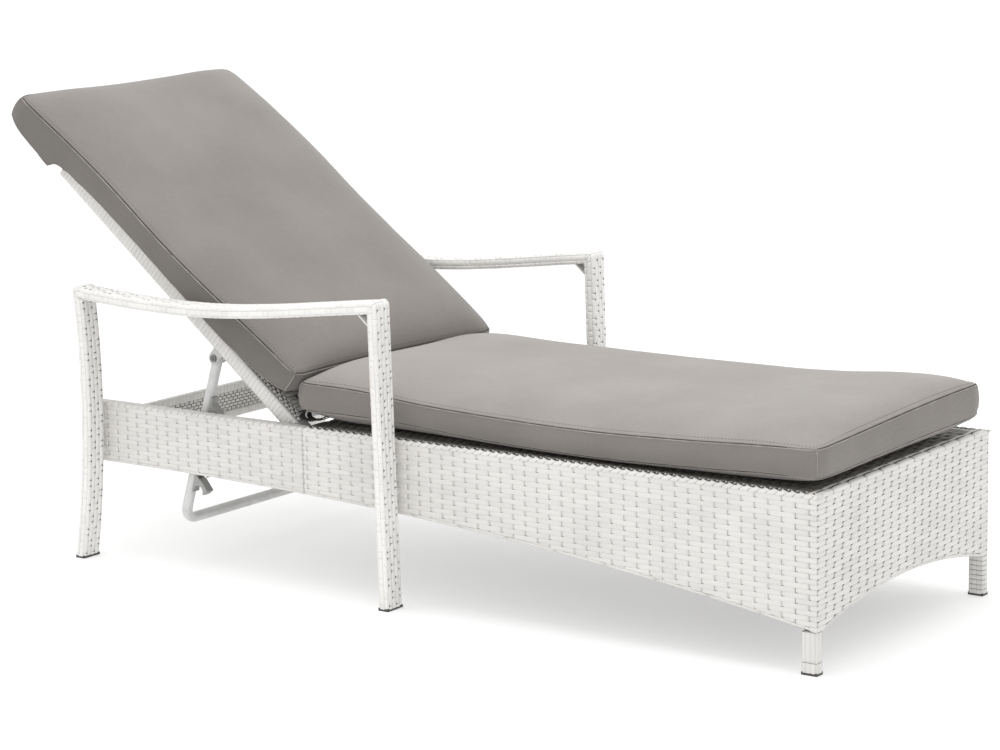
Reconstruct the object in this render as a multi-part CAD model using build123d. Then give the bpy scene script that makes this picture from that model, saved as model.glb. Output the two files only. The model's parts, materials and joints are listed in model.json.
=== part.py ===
from build123d import *
from math import cos, radians, sin
import os

# Reclining sun lounger with a woven skin over a metal frame, millimetres.
# X runs along the lounger with the foot end at +X, Y across it, Z up from the ground.
# The origin is on the ground, under the middle of the whole lounger with its back raised.
# Distances called "from the foot" are measured from the foot-end face towards the head.

# ---- driving dimensions ----
FOOT_X = 904.7  # foot-end face
BASE_LENGTH = 1643.0  # foot-end face to the end of the rear rails
BASE_HALF_WIDTH = 311.0
RAIL_THICKNESS = 26.0  # across the woven side panels
RAIL_TOP_Z = 305.5
SKIN = 3.0  # thickness of the woven skin
FRAME_TUBE = 20.0  # square tube inside the side panels
TUBE_WALL = 1.5

FOOT_EDGE_Z = 73.0  # lower edge of the side panels at the foot
HEAD_EDGE_Z = 187.0  # and at the head
EDGE_POWER = 2.45  # how fast that edge levels out
SEAM_FROM_FOOT = 1090.0  # joint between the seat panel and the rear rail
FOOT_ARCH_RISE = 36.0

FOOT_LEG_X = 30.0
FOOT_LEG_Y = 20.0
CAP_HEIGHT = 5.0
CAP_PLUG = 9.0

DECK_TOP_Z = 303.0
DECK_THICKNESS = 6.0
CROSS_TUBE = 25.0
CROSS_TUBES_FROM_FOOT = (300.0, 600.0, 900.0)
REAR_CROSS_FROM_FOOT = 1087.5

HEAD_TUBE = 16.0
HEAD_PANEL_TOP_Z = 268.0
HEAD_PANEL_BOTTOM_Z = 197.0
HEAD_BAND_THICKNESS = 8.0

ARM_HALF_WIDTH = 365.0  # outside of the armrests
ARM_WIDTH = 44.0  # across one armrest
ARM_DEPTH = 22.0  # thickness of its legs and rail
ARM_EDGE = 5.0  # rounding of its long edges
ARM_FRONT_TOP = 866.0  # foot-side face of the front leg, from the foot, at its top
ARM_FRONT_LEAN = 10.0  # how much nearer the foot that face is at the ground
ARM_REAR_FACE = 1579.0  # foot-side face of the bowed rear leg where it bows most
ARM_REAR_BOW_Z = 345.0
ARM_REAR_RADIUS = 1900.0
ARM_REAR_END = 1611.0  # rear end of the arm rail
ARM_LOW_FROM_FOOT = 1331.0  # lowest point of the sagging arm rail
ARM_LOW_Z = 503.0  # its underside there
ARM_FRONT_RISE = 41.0  # how much it rises to the front leg
ARM_FRONT_BEND = 0.9  # how much of that rise comes early
ARM_REAR_RISE = 14.0  # and to its rear end
BRACE_LEG = 20.0
BRACE_STRIP = 3.0
BRACE_GAP = 0.5

BOLT_R = 4.0
BOLT_HEAD_R = 6.5
BOLT_HEIGHTS = (268.0, 212.0)
BOLT_REACH = 12.0  # into the armrest leg
SPACER_R = 8.0
HOLE_GAP = 0.1
CAP_INSET = 5.0  # from a cap's flange to its plug

HINGE_FROM_FOOT = 1130.0
HINGE_Z = 288.0
RECLINE = 39.0  # degrees, as modelled
STUD_R = 5.0
RUNNING_GAP = 0.06
MOVING_GAP = 0.3
PLATE = 4.0
WASHER_R = 10.0
NUT_FLATS = 17.0
NUT_HEIGHT = 7.7
STUD_END = 2.0  # how far the stud shows past its nut
HINGE_PLATE_FROM_FOOT = (1036.0, 1146.0)
HINGE_PLATE_Z = (266.0, 302.0)
HINGE_SCREWS_FROM_FOOT = (1046.0, 1066.0, 1104.0)
HINGE_SCREW_RISE = 8.0  # above the plate's lower edge
SCREW_R = 2.5
SCREW_HEAD_R = 4.5
SCREW_HEAD = 2.0

BACK_HALF_WIDTH = 277.0
BACK_TUBE_Y = 26.0
BACK_TUBE_Z = 30.0
BACK_TUBE_WALL = 3.0
BACK_LENGTH = 737.0  # hinge axis to the top of the frame
BACK_CROSS = 24.0
BACK_BOTTOM_AT = 46.0  # cross tube centres, from the hinge
BACK_MID_AT = 380.0

PROP_AT = 232.0  # prop pivot, from the hinge along the back
PROP_DROP = 32.0  # and below the back's mid plane
PROP_LEAN = 17.2  # degrees from upright, as modelled
PROP_LENGTH = 345.0
PROP_HALF_WIDTH = 274.0
PROP_DEPTH = 20.0
PROP_THICKNESS = 18.0
PROP_BEND = 30.0
PROP_EDGE = 8.0
PROP_WALL = 2.0
CHEEK = 3.0
CHEEK_GAP = 0.5
CHEEK_R = 12.0
PIVOT_R = 4.0
PIVOT_HEAD = 2.8
PIVOT_HEAD_R = 7.0
SLOT_LENGTH = 8.0
SLOT_WIDTH = 1.6
SLOT_DEPTH = 1.2
PIVOT_NUT_FLATS = 13.0
PIVOT_NUT_HEIGHT = 6.7

HOOK_SHEET = 2.5  # bent sheet of the hook plates
HOOK_STRIP = 5.0  # depth of the strip along the prop arm
HOOK_TOP = 78.0
HOOK_FIRST = 123.2  # first notch, down the prop from its pivot
HOOK_PITCH = 37.2
HOOK_COUNT = 5
HOOK_IN_USE = 2  # the notch over the catch pin as modelled
NOTCH_R = 12.0
CLAW_TIP = (29.5, -1.0)  # out from the prop arm, and up from the notch centre
CLAW_NOSE = (37.0, 10.0)
CLAW_ROOT = 32.0  # where its outer slope meets the strip, up from the notch centre
CATCH_R = 6.0
CATCH_GAP = 1.0  # sideways, between a catch pin and its hook plate
CATCH_PLATE_HALF = 19.0
CATCH_SCREW_OFFSET = 12.0

SEAT_CUSHION_HALF_WIDTH = 290.0
SEAT_CUSHION_FROM_FOOT = (12.0, 1098.0)
SEAT_CUSHION_Z = (307.0, 379.0)
BACK_CUSHION_HALF_WIDTH = 305.0
BACK_CUSHION_AT = (55.0, 897.0)  # from the hinge
BACK_CUSHION_Z = (19.0, 78.0)  # above the back's mid plane
CUSHION_EDGE = 14.0

RAIL_INNER_Y = BASE_HALF_WIDTH - RAIL_THICKNESS
PLATE_INNER_Y = RAIL_INNER_Y - PLATE
ARM_INNER_Y = ARM_HALF_WIDTH - ARM_WIDTH
BACK_INNER_Y = BACK_HALF_WIDTH - BACK_TUBE_Y


def from_foot(distance):
    """X of a place at a distance from the foot-end face."""
    return FOOT_X - distance


def block(x_low, x_high, y_low, y_high, z_low, z_high):
    """Box between two corners."""
    middle = Pos((x_low + x_high) / 2, (y_low + y_high) / 2, (z_low + z_high) / 2)
    return middle * Box(abs(x_high - x_low), abs(y_high - y_low), abs(z_high - z_low))


def rod(x, z, y_low, y_high, radius):
    """Cylinder along Y."""
    middle = Pos(x, (y_low + y_high) / 2, z)
    return middle * Rot(90, 0, 0) * Cylinder(radius, abs(y_high - y_low))


def ring(x, z, y_low, y_high, outer, inner):
    """Washer or sleeve along Y."""
    return rod(x, z, y_low, y_high, outer) - rod(x, z, y_low - 1, y_high + 1, inner)


def nut(x, z, y_low, y_high, flats, bore):
    """Hexagon nut along Y."""
    profile = Plane.XZ * RegularPolygon(flats / 2, 6, major_radius=False)
    body = Pos(x, y_high, z) * extrude(profile, abs(y_high - y_low))
    return body - rod(x, z, y_low - 1, y_high + 1, bore)


def square_hollow(x_low, x_high, y_low, y_high, z_low, z_high, wall):
    """Inside of a closed box with walls of one thickness."""
    return block(
        x_low + wall, x_high - wall, y_low + wall, y_high - wall, z_low + wall, z_high - wall
    )


def upright(outline, y_low, y_high):
    """Solid between two Y planes from a closed outline drawn as X, Z edges."""
    face = Plane.XZ * make_face(outline)
    return Pos(0, y_high, 0) * extrude(face, y_high - y_low)


def both_sides(name, solid):
    """The right-hand part, at -Y, and its mirror image on the left."""
    return {"right_" + name: mirror(solid, Plane.XZ), "left_" + name: solid}


def lower_edge(distance):
    """Height of the side panels' lower edge at a distance from the foot."""
    left = 1 - distance / BASE_LENGTH
    return HEAD_EDGE_Z - (HEAD_EDGE_Z - FOOT_EDGE_Z) * left**EDGE_POWER


def panel_outline(start, end, inset):
    """Side panel outline between two distances from the foot."""
    start += inset
    end -= inset
    steps = 6
    lower = []
    for i in range(steps + 1):
        distance = start + (end - start) * i / steps
        lower.append((from_foot(distance), lower_edge(distance) + inset))
    top = RAIL_TOP_Z - inset
    corners = [lower[-1], (from_foot(end), top), (from_foot(start), top), lower[0]]
    return Spline(*lower) + Polyline(*corners)


def side_panel(start, end):
    """Woven skin of one side, hollow, with holes for the armrest bolts."""
    panel = upright(panel_outline(start, end, 0), RAIL_INNER_Y, BASE_HALF_WIDTH)
    panel -= upright(panel_outline(start, end, SKIN), RAIL_INNER_Y + SKIN, BASE_HALF_WIDTH - SKIN)
    for distance, z in arm_bolt_places():
        if start < distance < end:
            x = from_foot(distance)
            panel -= rod(x, z, RAIL_INNER_Y - 1, BASE_HALF_WIDTH + 1, BOLT_R + HOLE_GAP)
    return panel


def square_tube(start, end):
    """Frame tube inside the top of a side panel."""
    top = RAIL_TOP_Z - SKIN
    y_low = RAIL_INNER_Y + SKIN
    x_low, x_high = from_foot(end - SKIN), from_foot(start + SKIN)
    y_high = y_low + FRAME_TUBE
    bottom = top - FRAME_TUBE
    tube = block(x_low, x_high, y_low, y_high, bottom, top)
    wall = TUBE_WALL
    return tube - square_hollow(x_low - wall, x_high + wall, y_low, y_high, bottom, top, wall)


def foot_apron():
    """Woven panel across the foot end, arched along its lower edge and hollow."""
    half = BASE_HALF_WIDTH - FOOT_LEG_Y
    x_high = FOOT_X
    x_low = FOOT_X - RAIL_THICKNESS

    def outline(inset):
        side = half - inset
        low = FOOT_EDGE_Z + inset
        top = RAIL_TOP_Z - inset
        arch = ThreePointArc((-side, low), (0, low + FOOT_ARCH_RISE), (side, low))
        return arch + Polyline((side, low), (side, top), (-side, top), (-side, low))

    skin = extrude(Plane.YZ.offset(x_low) * make_face(outline(0)), x_high - x_low)
    inside = Plane.YZ.offset(x_low + SKIN) * make_face(outline(SKIN))
    return skin - extrude(inside, RAIL_THICKNESS - 2 * SKIN)


def foot_leg():
    """Corner post at the foot end, a hollow tube."""
    y_low = BASE_HALF_WIDTH - FOOT_LEG_Y
    x_low = FOOT_X - FOOT_LEG_X
    tube = block(x_low, FOOT_X, y_low, BASE_HALF_WIDTH, CAP_HEIGHT, RAIL_TOP_Z)
    low = CAP_HEIGHT - SKIN
    return tube - square_hollow(x_low, FOOT_X, y_low, BASE_HALF_WIDTH, low, RAIL_TOP_Z, SKIN)


def foot_cap():
    """Plug with a flange under a corner post."""
    y_low = BASE_HALF_WIDTH - FOOT_LEG_Y
    x_low = FOOT_X - FOOT_LEG_X
    flange = block(x_low, FOOT_X, y_low, BASE_HALF_WIDTH, 0, CAP_HEIGHT)
    low = CAP_HEIGHT - SKIN
    high = CAP_HEIGHT + CAP_PLUG + SKIN
    return flange + square_hollow(x_low, FOOT_X, y_low, BASE_HALF_WIDTH, low, high, SKIN)


def cross_tube(distance, half_length):
    """Tube across the base under the deck, centred at a distance from the foot."""
    half = CROSS_TUBE / 2
    top = DECK_TOP_Z - DECK_THICKNESS
    bottom = top - CROSS_TUBE
    x = from_foot(distance)
    wall = TUBE_WALL
    tube = block(x - half, x + half, -half_length, half_length, bottom, top)
    open_end = half_length + wall
    return tube - square_hollow(x - half, x + half, -open_end, open_end, bottom, top, wall)


def seat_deck():
    """Woven panel that the seat cushion lies on."""
    end = REAR_CROSS_FROM_FOOT + CROSS_TUBE / 2
    bottom = DECK_TOP_Z - DECK_THICKNESS
    x_high = FOOT_X - max(RAIL_THICKNESS, FOOT_LEG_X)
    return block(from_foot(end), x_high, -PLATE_INNER_Y, PLATE_INNER_Y, bottom, DECK_TOP_Z)


def head_panel():
    """Two wrapped tubes and the woven band between them, across the head end."""
    x_low = from_foot(BASE_LENGTH)
    x_high = x_low + HEAD_TUBE
    middle = (x_low + x_high) / 2
    half = RAIL_INNER_Y
    band_low = HEAD_PANEL_BOTTOM_Z + HEAD_TUBE
    band_high = HEAD_PANEL_TOP_Z - HEAD_TUBE
    open_end = half + SKIN

    def tube(z_low):
        z_high = z_low + HEAD_TUBE
        outer = block(x_low, x_high, -half, half, z_low, z_high)
        outer = fillet(outer.edges().filter_by(Axis.Y), HEAD_TUBE / 4)
        return outer - square_hollow(x_low, x_high, -open_end, open_end, z_low, z_high, SKIN)

    thick = HEAD_BAND_THICKNESS / 2
    return {
        "head_upper_tube": tube(band_high),
        "head_lower_tube": tube(HEAD_PANEL_BOTTOM_Z),
        "head_woven_band": block(middle - thick, middle + thick, -half, half, band_low, band_high),
    }


def arm_underside(distance):
    """Height of the arm rail's underside, which sags between its legs."""
    if distance > ARM_LOW_FROM_FOOT:
        part = (distance - ARM_LOW_FROM_FOOT) / (ARM_REAR_END - ARM_LOW_FROM_FOOT)
        return ARM_LOW_Z + ARM_REAR_RISE * part**2
    part = (ARM_LOW_FROM_FOOT - distance) / (ARM_LOW_FROM_FOOT - ARM_FRONT_TOP)
    early = 1 + ARM_FRONT_BEND - ARM_FRONT_BEND * part
    return ARM_LOW_Z + ARM_FRONT_RISE * part**2 * early


def rear_leg_face(z):
    """Distance from the foot of the rear leg's foot-side face, a shallow bow."""
    offset = z - ARM_REAR_BOW_Z
    return ARM_REAR_FACE + ARM_REAR_RADIUS - (ARM_REAR_RADIUS**2 - offset**2) ** 0.5


def front_leg_face(z):
    """Distance from the foot of the front leg's foot-side face."""
    top = arm_underside(ARM_FRONT_TOP)
    return ARM_FRONT_TOP - ARM_FRONT_LEAN * (top - z) / top


def arm_bolt_places():
    """Distance from the foot and height of each bolt that holds an armrest."""
    places = []
    for face in (front_leg_face, rear_leg_face):
        for z in BOLT_HEIGHTS:
            places.append((face(z) + ARM_DEPTH / 2, z))
    return places


def arm_rail_outline(start, end, low, high):
    """Arm rail outline between two heights above its underside."""
    steps = 8
    places = [start + (end - start) * i / steps for i in range(steps + 1)]
    under = Spline(*[(from_foot(place), arm_underside(place) + low) for place in places])
    places.reverse()
    over = Spline(*[(from_foot(place), arm_underside(place) + high) for place in places])
    return under + Line(under @ 1, over @ 0) + over + Line(over @ 1, under @ 0)


def arm_rail():
    """Sagging armrest bar with rounded ends, hollow."""
    start, end = ARM_FRONT_TOP, ARM_REAR_END
    bar = upright(arm_rail_outline(start, end, 0, ARM_DEPTH), ARM_INNER_Y, ARM_HALF_WIDTH)
    hollow = arm_rail_outline(start + ARM_DEPTH, end - ARM_DEPTH, SKIN, ARM_DEPTH - SKIN)
    bar -= upright(hollow, ARM_INNER_Y + SKIN, ARM_HALF_WIDTH - SKIN)
    for x_end in (-1, 0):
        upper_edge = bar.edges().filter_by(Axis.Y).group_by(Axis.X)[x_end].sort_by(Axis.Z)[-1]
        bar = fillet(upper_edge, ARM_DEPTH / 2)
    return bar


def arm_leg(face):
    """One armrest leg from its cap up to the arm rail, hollow, following a face line."""

    def outline(inset, low):
        near = inset
        far = ARM_DEPTH - inset
        high = RAIL_TOP_Z * 2
        heights = [low + (high - low) * i / 4 for i in range(5)]
        front = Spline(*[(from_foot(face(z) + near), z) for z in heights])
        back = Spline(*[(from_foot(face(z) + far), z) for z in reversed(heights)])
        return front + Line(front @ 1, back @ 0) + back + Line(back @ 1, front @ 0)

    leg = upright(outline(0, CAP_HEIGHT), ARM_INNER_Y, ARM_HALF_WIDTH)
    leg -= upright(outline(SKIN, CAP_HEIGHT), ARM_INNER_Y + SKIN, ARM_HALF_WIDTH - SKIN)
    start, end = ARM_FRONT_TOP - ARM_DEPTH, ARM_REAR_END + ARM_DEPTH
    leg -= upright(arm_rail_outline(start, end, 0, RAIL_TOP_Z), 0, ARM_HALF_WIDTH * 2)
    hole_end = ARM_INNER_Y + SKIN + 1
    for distance, z in arm_bolt_places():
        leg -= rod(from_foot(distance), z, ARM_INNER_Y - 1, hole_end, BOLT_R + HOLE_GAP)
    return leg


def arm_cap(face):
    """Plug with a flange under an armrest leg."""
    x_high = from_foot(face(CAP_HEIGHT))
    x_low = x_high - ARM_DEPTH
    flange = block(x_low, x_high, ARM_INNER_Y, ARM_HALF_WIDTH, 0, CAP_HEIGHT)
    low = CAP_HEIGHT - CAP_INSET
    high = CAP_HEIGHT + CAP_PLUG + CAP_INSET
    return flange + square_hollow(x_low, x_high, ARM_INNER_Y, ARM_HALF_WIDTH, low, high, CAP_INSET)


def arm_brace():
    """Thin strip across the inner corner of the front leg and the arm rail."""
    distance = ARM_FRONT_TOP + ARM_DEPTH
    corner_x = from_foot(distance)
    reach = BRACE_LEG
    low = arm_underside(distance) - reach
    high = arm_underside(distance + reach + BRACE_STRIP) - BRACE_GAP
    corners = [
        (corner_x, low - BRACE_STRIP),
        (corner_x, low),
        (corner_x - reach, high),
        (corner_x - reach - BRACE_STRIP, high),
    ]
    outline = Polyline(*corners, close=True)
    return upright(outline, ARM_INNER_Y + ARM_EDGE, ARM_HALF_WIDTH - ARM_EDGE)


def arm_bolts():
    """Bolts from inside the side panels into the armrest legs."""
    bolts = []
    for distance, z in arm_bolt_places():
        x = from_foot(distance)
        head = rod(x, z, PLATE_INNER_Y, RAIL_INNER_Y, BOLT_HEAD_R)
        bolts.append(head + rod(x, z, RAIL_INNER_Y, ARM_INNER_Y + BOLT_REACH, BOLT_R))
    return bolts


def arm_spacers():
    """Sleeves that hold the armrest legs clear of the side panels."""
    spacers = []
    for distance, z in arm_bolt_places():
        x = from_foot(distance)
        spacers.append(ring(x, z, BASE_HALF_WIDTH, ARM_INNER_Y, SPACER_R, BOLT_R + HOLE_GAP))
    return spacers


def group(solids):
    """Separate solids on both sides as one group."""
    mirrored = [mirror(solid, Plane.XZ) for solid in solids]
    return Compound(children=solids + mirrored)


# ---- backrest, drawn flat with its hinge at the origin and its top towards -X ----


def back_side_tube():
    """Side of the back frame, with a solid round end for the hinge."""
    half = BACK_TUBE_Z / 2
    y_low, y_high = BACK_INNER_Y, BACK_HALF_WIDTH
    tube = block(-BACK_LENGTH, 0, y_low, y_high, -half, half) + rod(0, 0, y_low, y_high, half)
    wall = BACK_TUBE_WALL
    tube -= square_hollow(-BACK_LENGTH, wall - BACK_TUBE_Z, y_low, y_high, -half, half, wall)
    return tube - rod(0, 0, y_low - 1, y_high + 1, STUD_R + RUNNING_GAP)


def back_cross_tube(at):
    """Tube between the sides of the back frame, under the woven deck."""
    half = BACK_CROSS / 2
    top = BACK_TUBE_Z / 2 - DECK_THICKNESS
    bottom = -BACK_TUBE_Z / 2
    wall = BACK_TUBE_WALL
    tube = block(-at - half, -at + half, -BACK_INNER_Y, BACK_INNER_Y, bottom, top)
    open_end = BACK_INNER_Y + wall
    return tube - square_hollow(-at - half, -at + half, -open_end, open_end, bottom, top, wall)


def back_deck():
    """Woven panel of the backrest."""
    start = BACK_BOTTOM_AT - BACK_CROSS / 2
    top = BACK_TUBE_Z / 2
    return block(-BACK_LENGTH, -start, -BACK_INNER_Y, BACK_INNER_Y, top - DECK_THICKNESS, top)


def prop_bracket():
    """Clevis under the side of the back frame that carries the prop."""
    y_high = PROP_HALF_WIDTH + CHEEK_GAP + CHEEK
    y_low = PROP_HALF_WIDTH - PROP_THICKNESS - CHEEK_GAP - CHEEK
    under = -BACK_TUBE_Z / 2
    x_low, x_high = -PROP_AT - CHEEK_R, -PROP_AT + CHEEK_R
    clevis = block(x_low, x_high, y_low, y_high, -PROP_DROP, under)
    clevis += rod(-PROP_AT, -PROP_DROP, y_low, y_high, CHEEK_R)
    low = -PROP_DROP - CHEEK_R - CHEEK
    clevis -= square_hollow(x_low - CHEEK, x_high + CHEEK, y_low, y_high, low, under, CHEEK)
    return clevis - rod(-PROP_AT, -PROP_DROP, y_low - 1, y_high + 1, PIVOT_R + HOLE_GAP)


def prop_bolt():
    """Pivot bolt with a cross slot in its flat head."""
    outer = PROP_HALF_WIDTH + CHEEK_GAP + CHEEK
    inner = PROP_HALF_WIDTH - PROP_THICKNESS - CHEEK_GAP - CHEEK - PIVOT_NUT_HEIGHT - 1
    face = outer + PIVOT_HEAD
    bolt = rod(-PROP_AT, -PROP_DROP, outer, face, PIVOT_HEAD_R)
    bolt += rod(-PROP_AT, -PROP_DROP, inner, outer, PIVOT_R)
    slot = Box(SLOT_LENGTH, 2 * SLOT_DEPTH, SLOT_WIDTH) + Box(SLOT_WIDTH, 2 * SLOT_DEPTH, SLOT_LENGTH)
    return bolt - Pos(-PROP_AT, face, -PROP_DROP) * slot


def prop_nut():
    """Nut on the inner end of a pivot bolt."""
    y_high = PROP_HALF_WIDTH - PROP_THICKNESS - CHEEK_GAP - CHEEK
    y_low = y_high - PIVOT_NUT_HEIGHT
    return nut(-PROP_AT, -PROP_DROP, y_low, y_high, PIVOT_NUT_FLATS, PIVOT_R + HOLE_GAP)


def back_cushion():
    """Plain solid the size of the back cushion."""
    start, end = BACK_CUSHION_AT
    low, high = BACK_CUSHION_Z
    half = BACK_CUSHION_HALF_WIDTH
    pad = block(-end, -start, -half, half, low, high)
    hinge_side = pad.edges().filter_by(Axis.Y).sort_by(Axis.X)[-2:].sort_by(Axis.Z)[-1]
    pad = fillet(hinge_side, CUSHION_EDGE * 2)
    return fillet(pad.edges().filter_by(Axis.Y).group_by(Axis.X)[0], CUSHION_EDGE)


# ---- prop, drawn hanging straight down from its pivot at the origin ----


def bail_sweep(drop, inset):
    """Rounded bar swept round the prop's U, starting a distance below the pivots."""
    y_mid = PROP_HALF_WIDTH - PROP_THICKNESS / 2
    low = -PROP_LENGTH
    corners = [(0, -y_mid, -drop), (0, -y_mid, low), (0, y_mid, low), (0, y_mid, -drop)]
    path = FilletPolyline(*corners, radius=PROP_BEND)
    start = Plane(origin=path @ 0, x_dir=(1, 0, 0), z_dir=path % 0)
    depth = PROP_DEPTH - 2 * inset
    thickness = PROP_THICKNESS - 2 * inset
    return sweep(start * RectangleRounded(depth, thickness, PROP_EDGE - inset), path)


def prop_bail():
    """U-shaped tube: two arms and a bar across the bottom."""
    bail = bail_sweep(0, 0) - bail_sweep(PROP_DEPTH, PROP_WALL)
    y_low = PROP_HALF_WIDTH - PROP_THICKNESS
    eye = rod(0, 0, y_low, PROP_HALF_WIDTH, PROP_DEPTH / 2)
    bail += eye + mirror(eye, Plane.XZ)
    return bail - rod(0, 0, -PROP_HALF_WIDTH - 1, PROP_HALF_WIDTH + 1, PIVOT_R + RUNNING_GAP)


def notch_places():
    """How far each notch is down the prop from its pivot."""
    return [HOOK_FIRST + HOOK_PITCH * i for i in range(HOOK_COUNT)]


def claw_outline(notch, inset):
    """One claw over a notch, with its outer edges moved in."""
    root = PROP_DEPTH / 2
    tip_out, tip_up = CLAW_TIP
    nose_out, nose_up = CLAW_NOSE
    slope_up = CLAW_ROOT - inset
    corners = [
        (root, slope_up),
        (root + HOOK_STRIP, slope_up),
        (root + nose_out - inset, nose_up - inset / 2),
        (root + tip_out, tip_up),
        (root, tip_up),
    ]
    return Polyline(*[(x, z - notch) for x, z in corners], close=True)


def hook_plate():
    """Toothed channel of bent sheet on the foot side of a prop arm, one claw over each notch."""
    root = PROP_DEPTH / 2
    y_high = PROP_HALF_WIDTH
    y_low = y_high - PROP_THICKNESS
    bottom = notch_places()[-1] + HOOK_STRIP
    plate = block(root, root + HOOK_STRIP, y_low, y_high, -bottom, -HOOK_TOP)
    for notch in notch_places():
        plate += upright(claw_outline(notch, 0), y_low, y_high)
    for notch in notch_places():
        inside = upright(claw_outline(notch, HOOK_SHEET), y_low + HOOK_SHEET, y_high - HOOK_SHEET)
        plate -= inside - block(0, root + HOOK_SHEET, y_low, y_high, -bottom, 0)
        plate -= rod(root + HOOK_SHEET + NOTCH_R, -notch, y_low - 1, y_high + 1, NOTCH_R)
    return plate


def prop_pivot():
    """X and Z of the prop's pivot with the back raised."""
    angle = radians(RECLINE)
    x = from_foot(HINGE_FROM_FOOT) - PROP_AT * cos(angle) - PROP_DROP * sin(angle)
    z = HINGE_Z + PROP_AT * sin(angle) - PROP_DROP * cos(angle)
    return x, z


def catch_place():
    """X and Z of the catch pins, against the top of the notch in use."""
    x, z = prop_pivot()
    down = notch_places()[HOOK_IN_USE] - NOTCH_R + CATCH_R + MOVING_GAP
    out = PROP_DEPTH / 2 + HOOK_SHEET + NOTCH_R
    lean = radians(PROP_LEAN)
    x += out * cos(lean) - down * sin(lean)
    z -= out * sin(lean) + down * cos(lean)
    return x, z


def counterbored(x, z):
    """Screw hole with a flat recess in a plate on the inside of a side panel."""
    hole = rod(x, z, PLATE_INNER_Y - 1, RAIL_INNER_Y + 1, SCREW_R)
    return hole + rod(x, z, PLATE_INNER_Y - 1, PLATE_INNER_Y + SCREW_HEAD, SCREW_HEAD_R)


def plate_screw(x, z):
    """Flush screw through such a plate into the side panel."""
    head = rod(x, z, PLATE_INNER_Y, PLATE_INNER_Y + SCREW_HEAD, SCREW_HEAD_R)
    return head + rod(x, z, PLATE_INNER_Y + SCREW_HEAD, RAIL_INNER_Y, SCREW_R)


def catch_screw_places():
    """Screws of a catch bracket, below its pin."""
    x, z = catch_place()
    offset = CATCH_SCREW_OFFSET
    return [(x - offset, z - offset), (x + offset, z - offset)]


def catch_bracket():
    """Plate on the inside of a rear rail with a short catch pin."""
    x, z = catch_place()
    half = CATCH_PLATE_HALF
    bracket = block(x - half, x + half, PLATE_INNER_Y, RAIL_INNER_Y, z - half, z + half)
    bracket += rod(x, z, PROP_HALF_WIDTH + CATCH_GAP, PLATE_INNER_Y, CATCH_R)
    for place in catch_screw_places():
        bracket -= counterbored(*place)
    return bracket


def hinge_screw_places():
    """Screws of a hinge plate, on both sides of the panel joint."""
    z = HINGE_PLATE_Z[0] + HINGE_SCREW_RISE
    return [(from_foot(distance), z) for distance in HINGE_SCREWS_FROM_FOOT]


def hinge_plate():
    """Plate that joins a side panel to its rear rail and carries the hinge stud."""
    x = from_foot(HINGE_FROM_FOOT)
    start, end = HINGE_PLATE_FROM_FOOT
    plate = block(from_foot(end), from_foot(start), PLATE_INNER_Y, RAIL_INNER_Y, *HINGE_PLATE_Z)
    stud_end = BACK_INNER_Y - MOVING_GAP - NUT_HEIGHT - STUD_END
    plate += rod(x, HINGE_Z, stud_end, PLATE_INNER_Y, STUD_R)
    for place in hinge_screw_places():
        plate -= counterbored(*place)
    return plate


def hinge_washer():
    """Spacer between a hinge plate and the back frame."""
    x = from_foot(HINGE_FROM_FOOT)
    return ring(x, HINGE_Z, BACK_HALF_WIDTH + MOVING_GAP, PLATE_INNER_Y, WASHER_R, STUD_R)


def hinge_nut():
    """Nut on the inner end of a hinge stud."""
    x = from_foot(HINGE_FROM_FOOT)
    y_high = BACK_INNER_Y - MOVING_GAP
    return nut(x, HINGE_Z, y_high - NUT_HEIGHT, y_high, NUT_FLATS, STUD_R)


def seat_cushion():
    """Plain solid the size of the seat cushion."""
    start, end = SEAT_CUSHION_FROM_FOOT
    half = SEAT_CUSHION_HALF_WIDTH
    pad = block(from_foot(end), from_foot(start), -half, half, *SEAT_CUSHION_Z)
    return fillet(pad.edges().filter_by(Axis.Y), CUSHION_EDGE)


def base_parts():
    """Everything that stands on the ground."""
    parts = {}
    parts.update(both_sides("side_apron", side_panel(FOOT_LEG_X, SEAM_FROM_FOOT)))
    parts.update(both_sides("rear_rail", side_panel(SEAM_FROM_FOOT, BASE_LENGTH)))
    parts.update(both_sides("side_frame_tube", square_tube(FOOT_LEG_X, SEAM_FROM_FOOT)))
    parts.update(both_sides("rear_frame_tube", square_tube(SEAM_FROM_FOOT, BASE_LENGTH)))
    parts["foot_apron"] = foot_apron()
    parts.update(both_sides("foot_leg", foot_leg()))
    parts.update(both_sides("foot_cap", foot_cap()))
    parts["seat_deck"] = seat_deck()
    for number, distance in enumerate(CROSS_TUBES_FROM_FOOT, 1):
        parts["seat_cross_tube_" + str(number)] = cross_tube(distance, RAIL_INNER_Y)
    parts["seat_rear_cross_tube"] = cross_tube(REAR_CROSS_FROM_FOOT, PLATE_INNER_Y)
    parts.update(head_panel())
    parts.update(both_sides("arm_front_leg", arm_leg(front_leg_face)))
    parts.update(both_sides("arm_rear_leg", arm_leg(rear_leg_face)))
    parts.update(both_sides("arm_rail", arm_rail()))
    parts.update(both_sides("arm_brace", arm_brace()))
    parts.update(both_sides("arm_front_cap", arm_cap(front_leg_face)))
    parts.update(both_sides("arm_rear_cap", arm_cap(rear_leg_face)))
    parts["armrest_bolts"] = group(arm_bolts())
    parts["armrest_spacers"] = group(arm_spacers())
    parts.update(both_sides("hinge_plate", hinge_plate()))
    parts["hinge_washers"] = group([hinge_washer()])
    parts["hinge_nuts"] = group([hinge_nut()])
    parts.update(both_sides("catch_bracket", catch_bracket()))
    screws = [plate_screw(*place) for place in hinge_screw_places() + catch_screw_places()]
    parts["plate_screws"] = group(screws)
    parts["seat_cushion"] = seat_cushion()
    return parts


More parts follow.
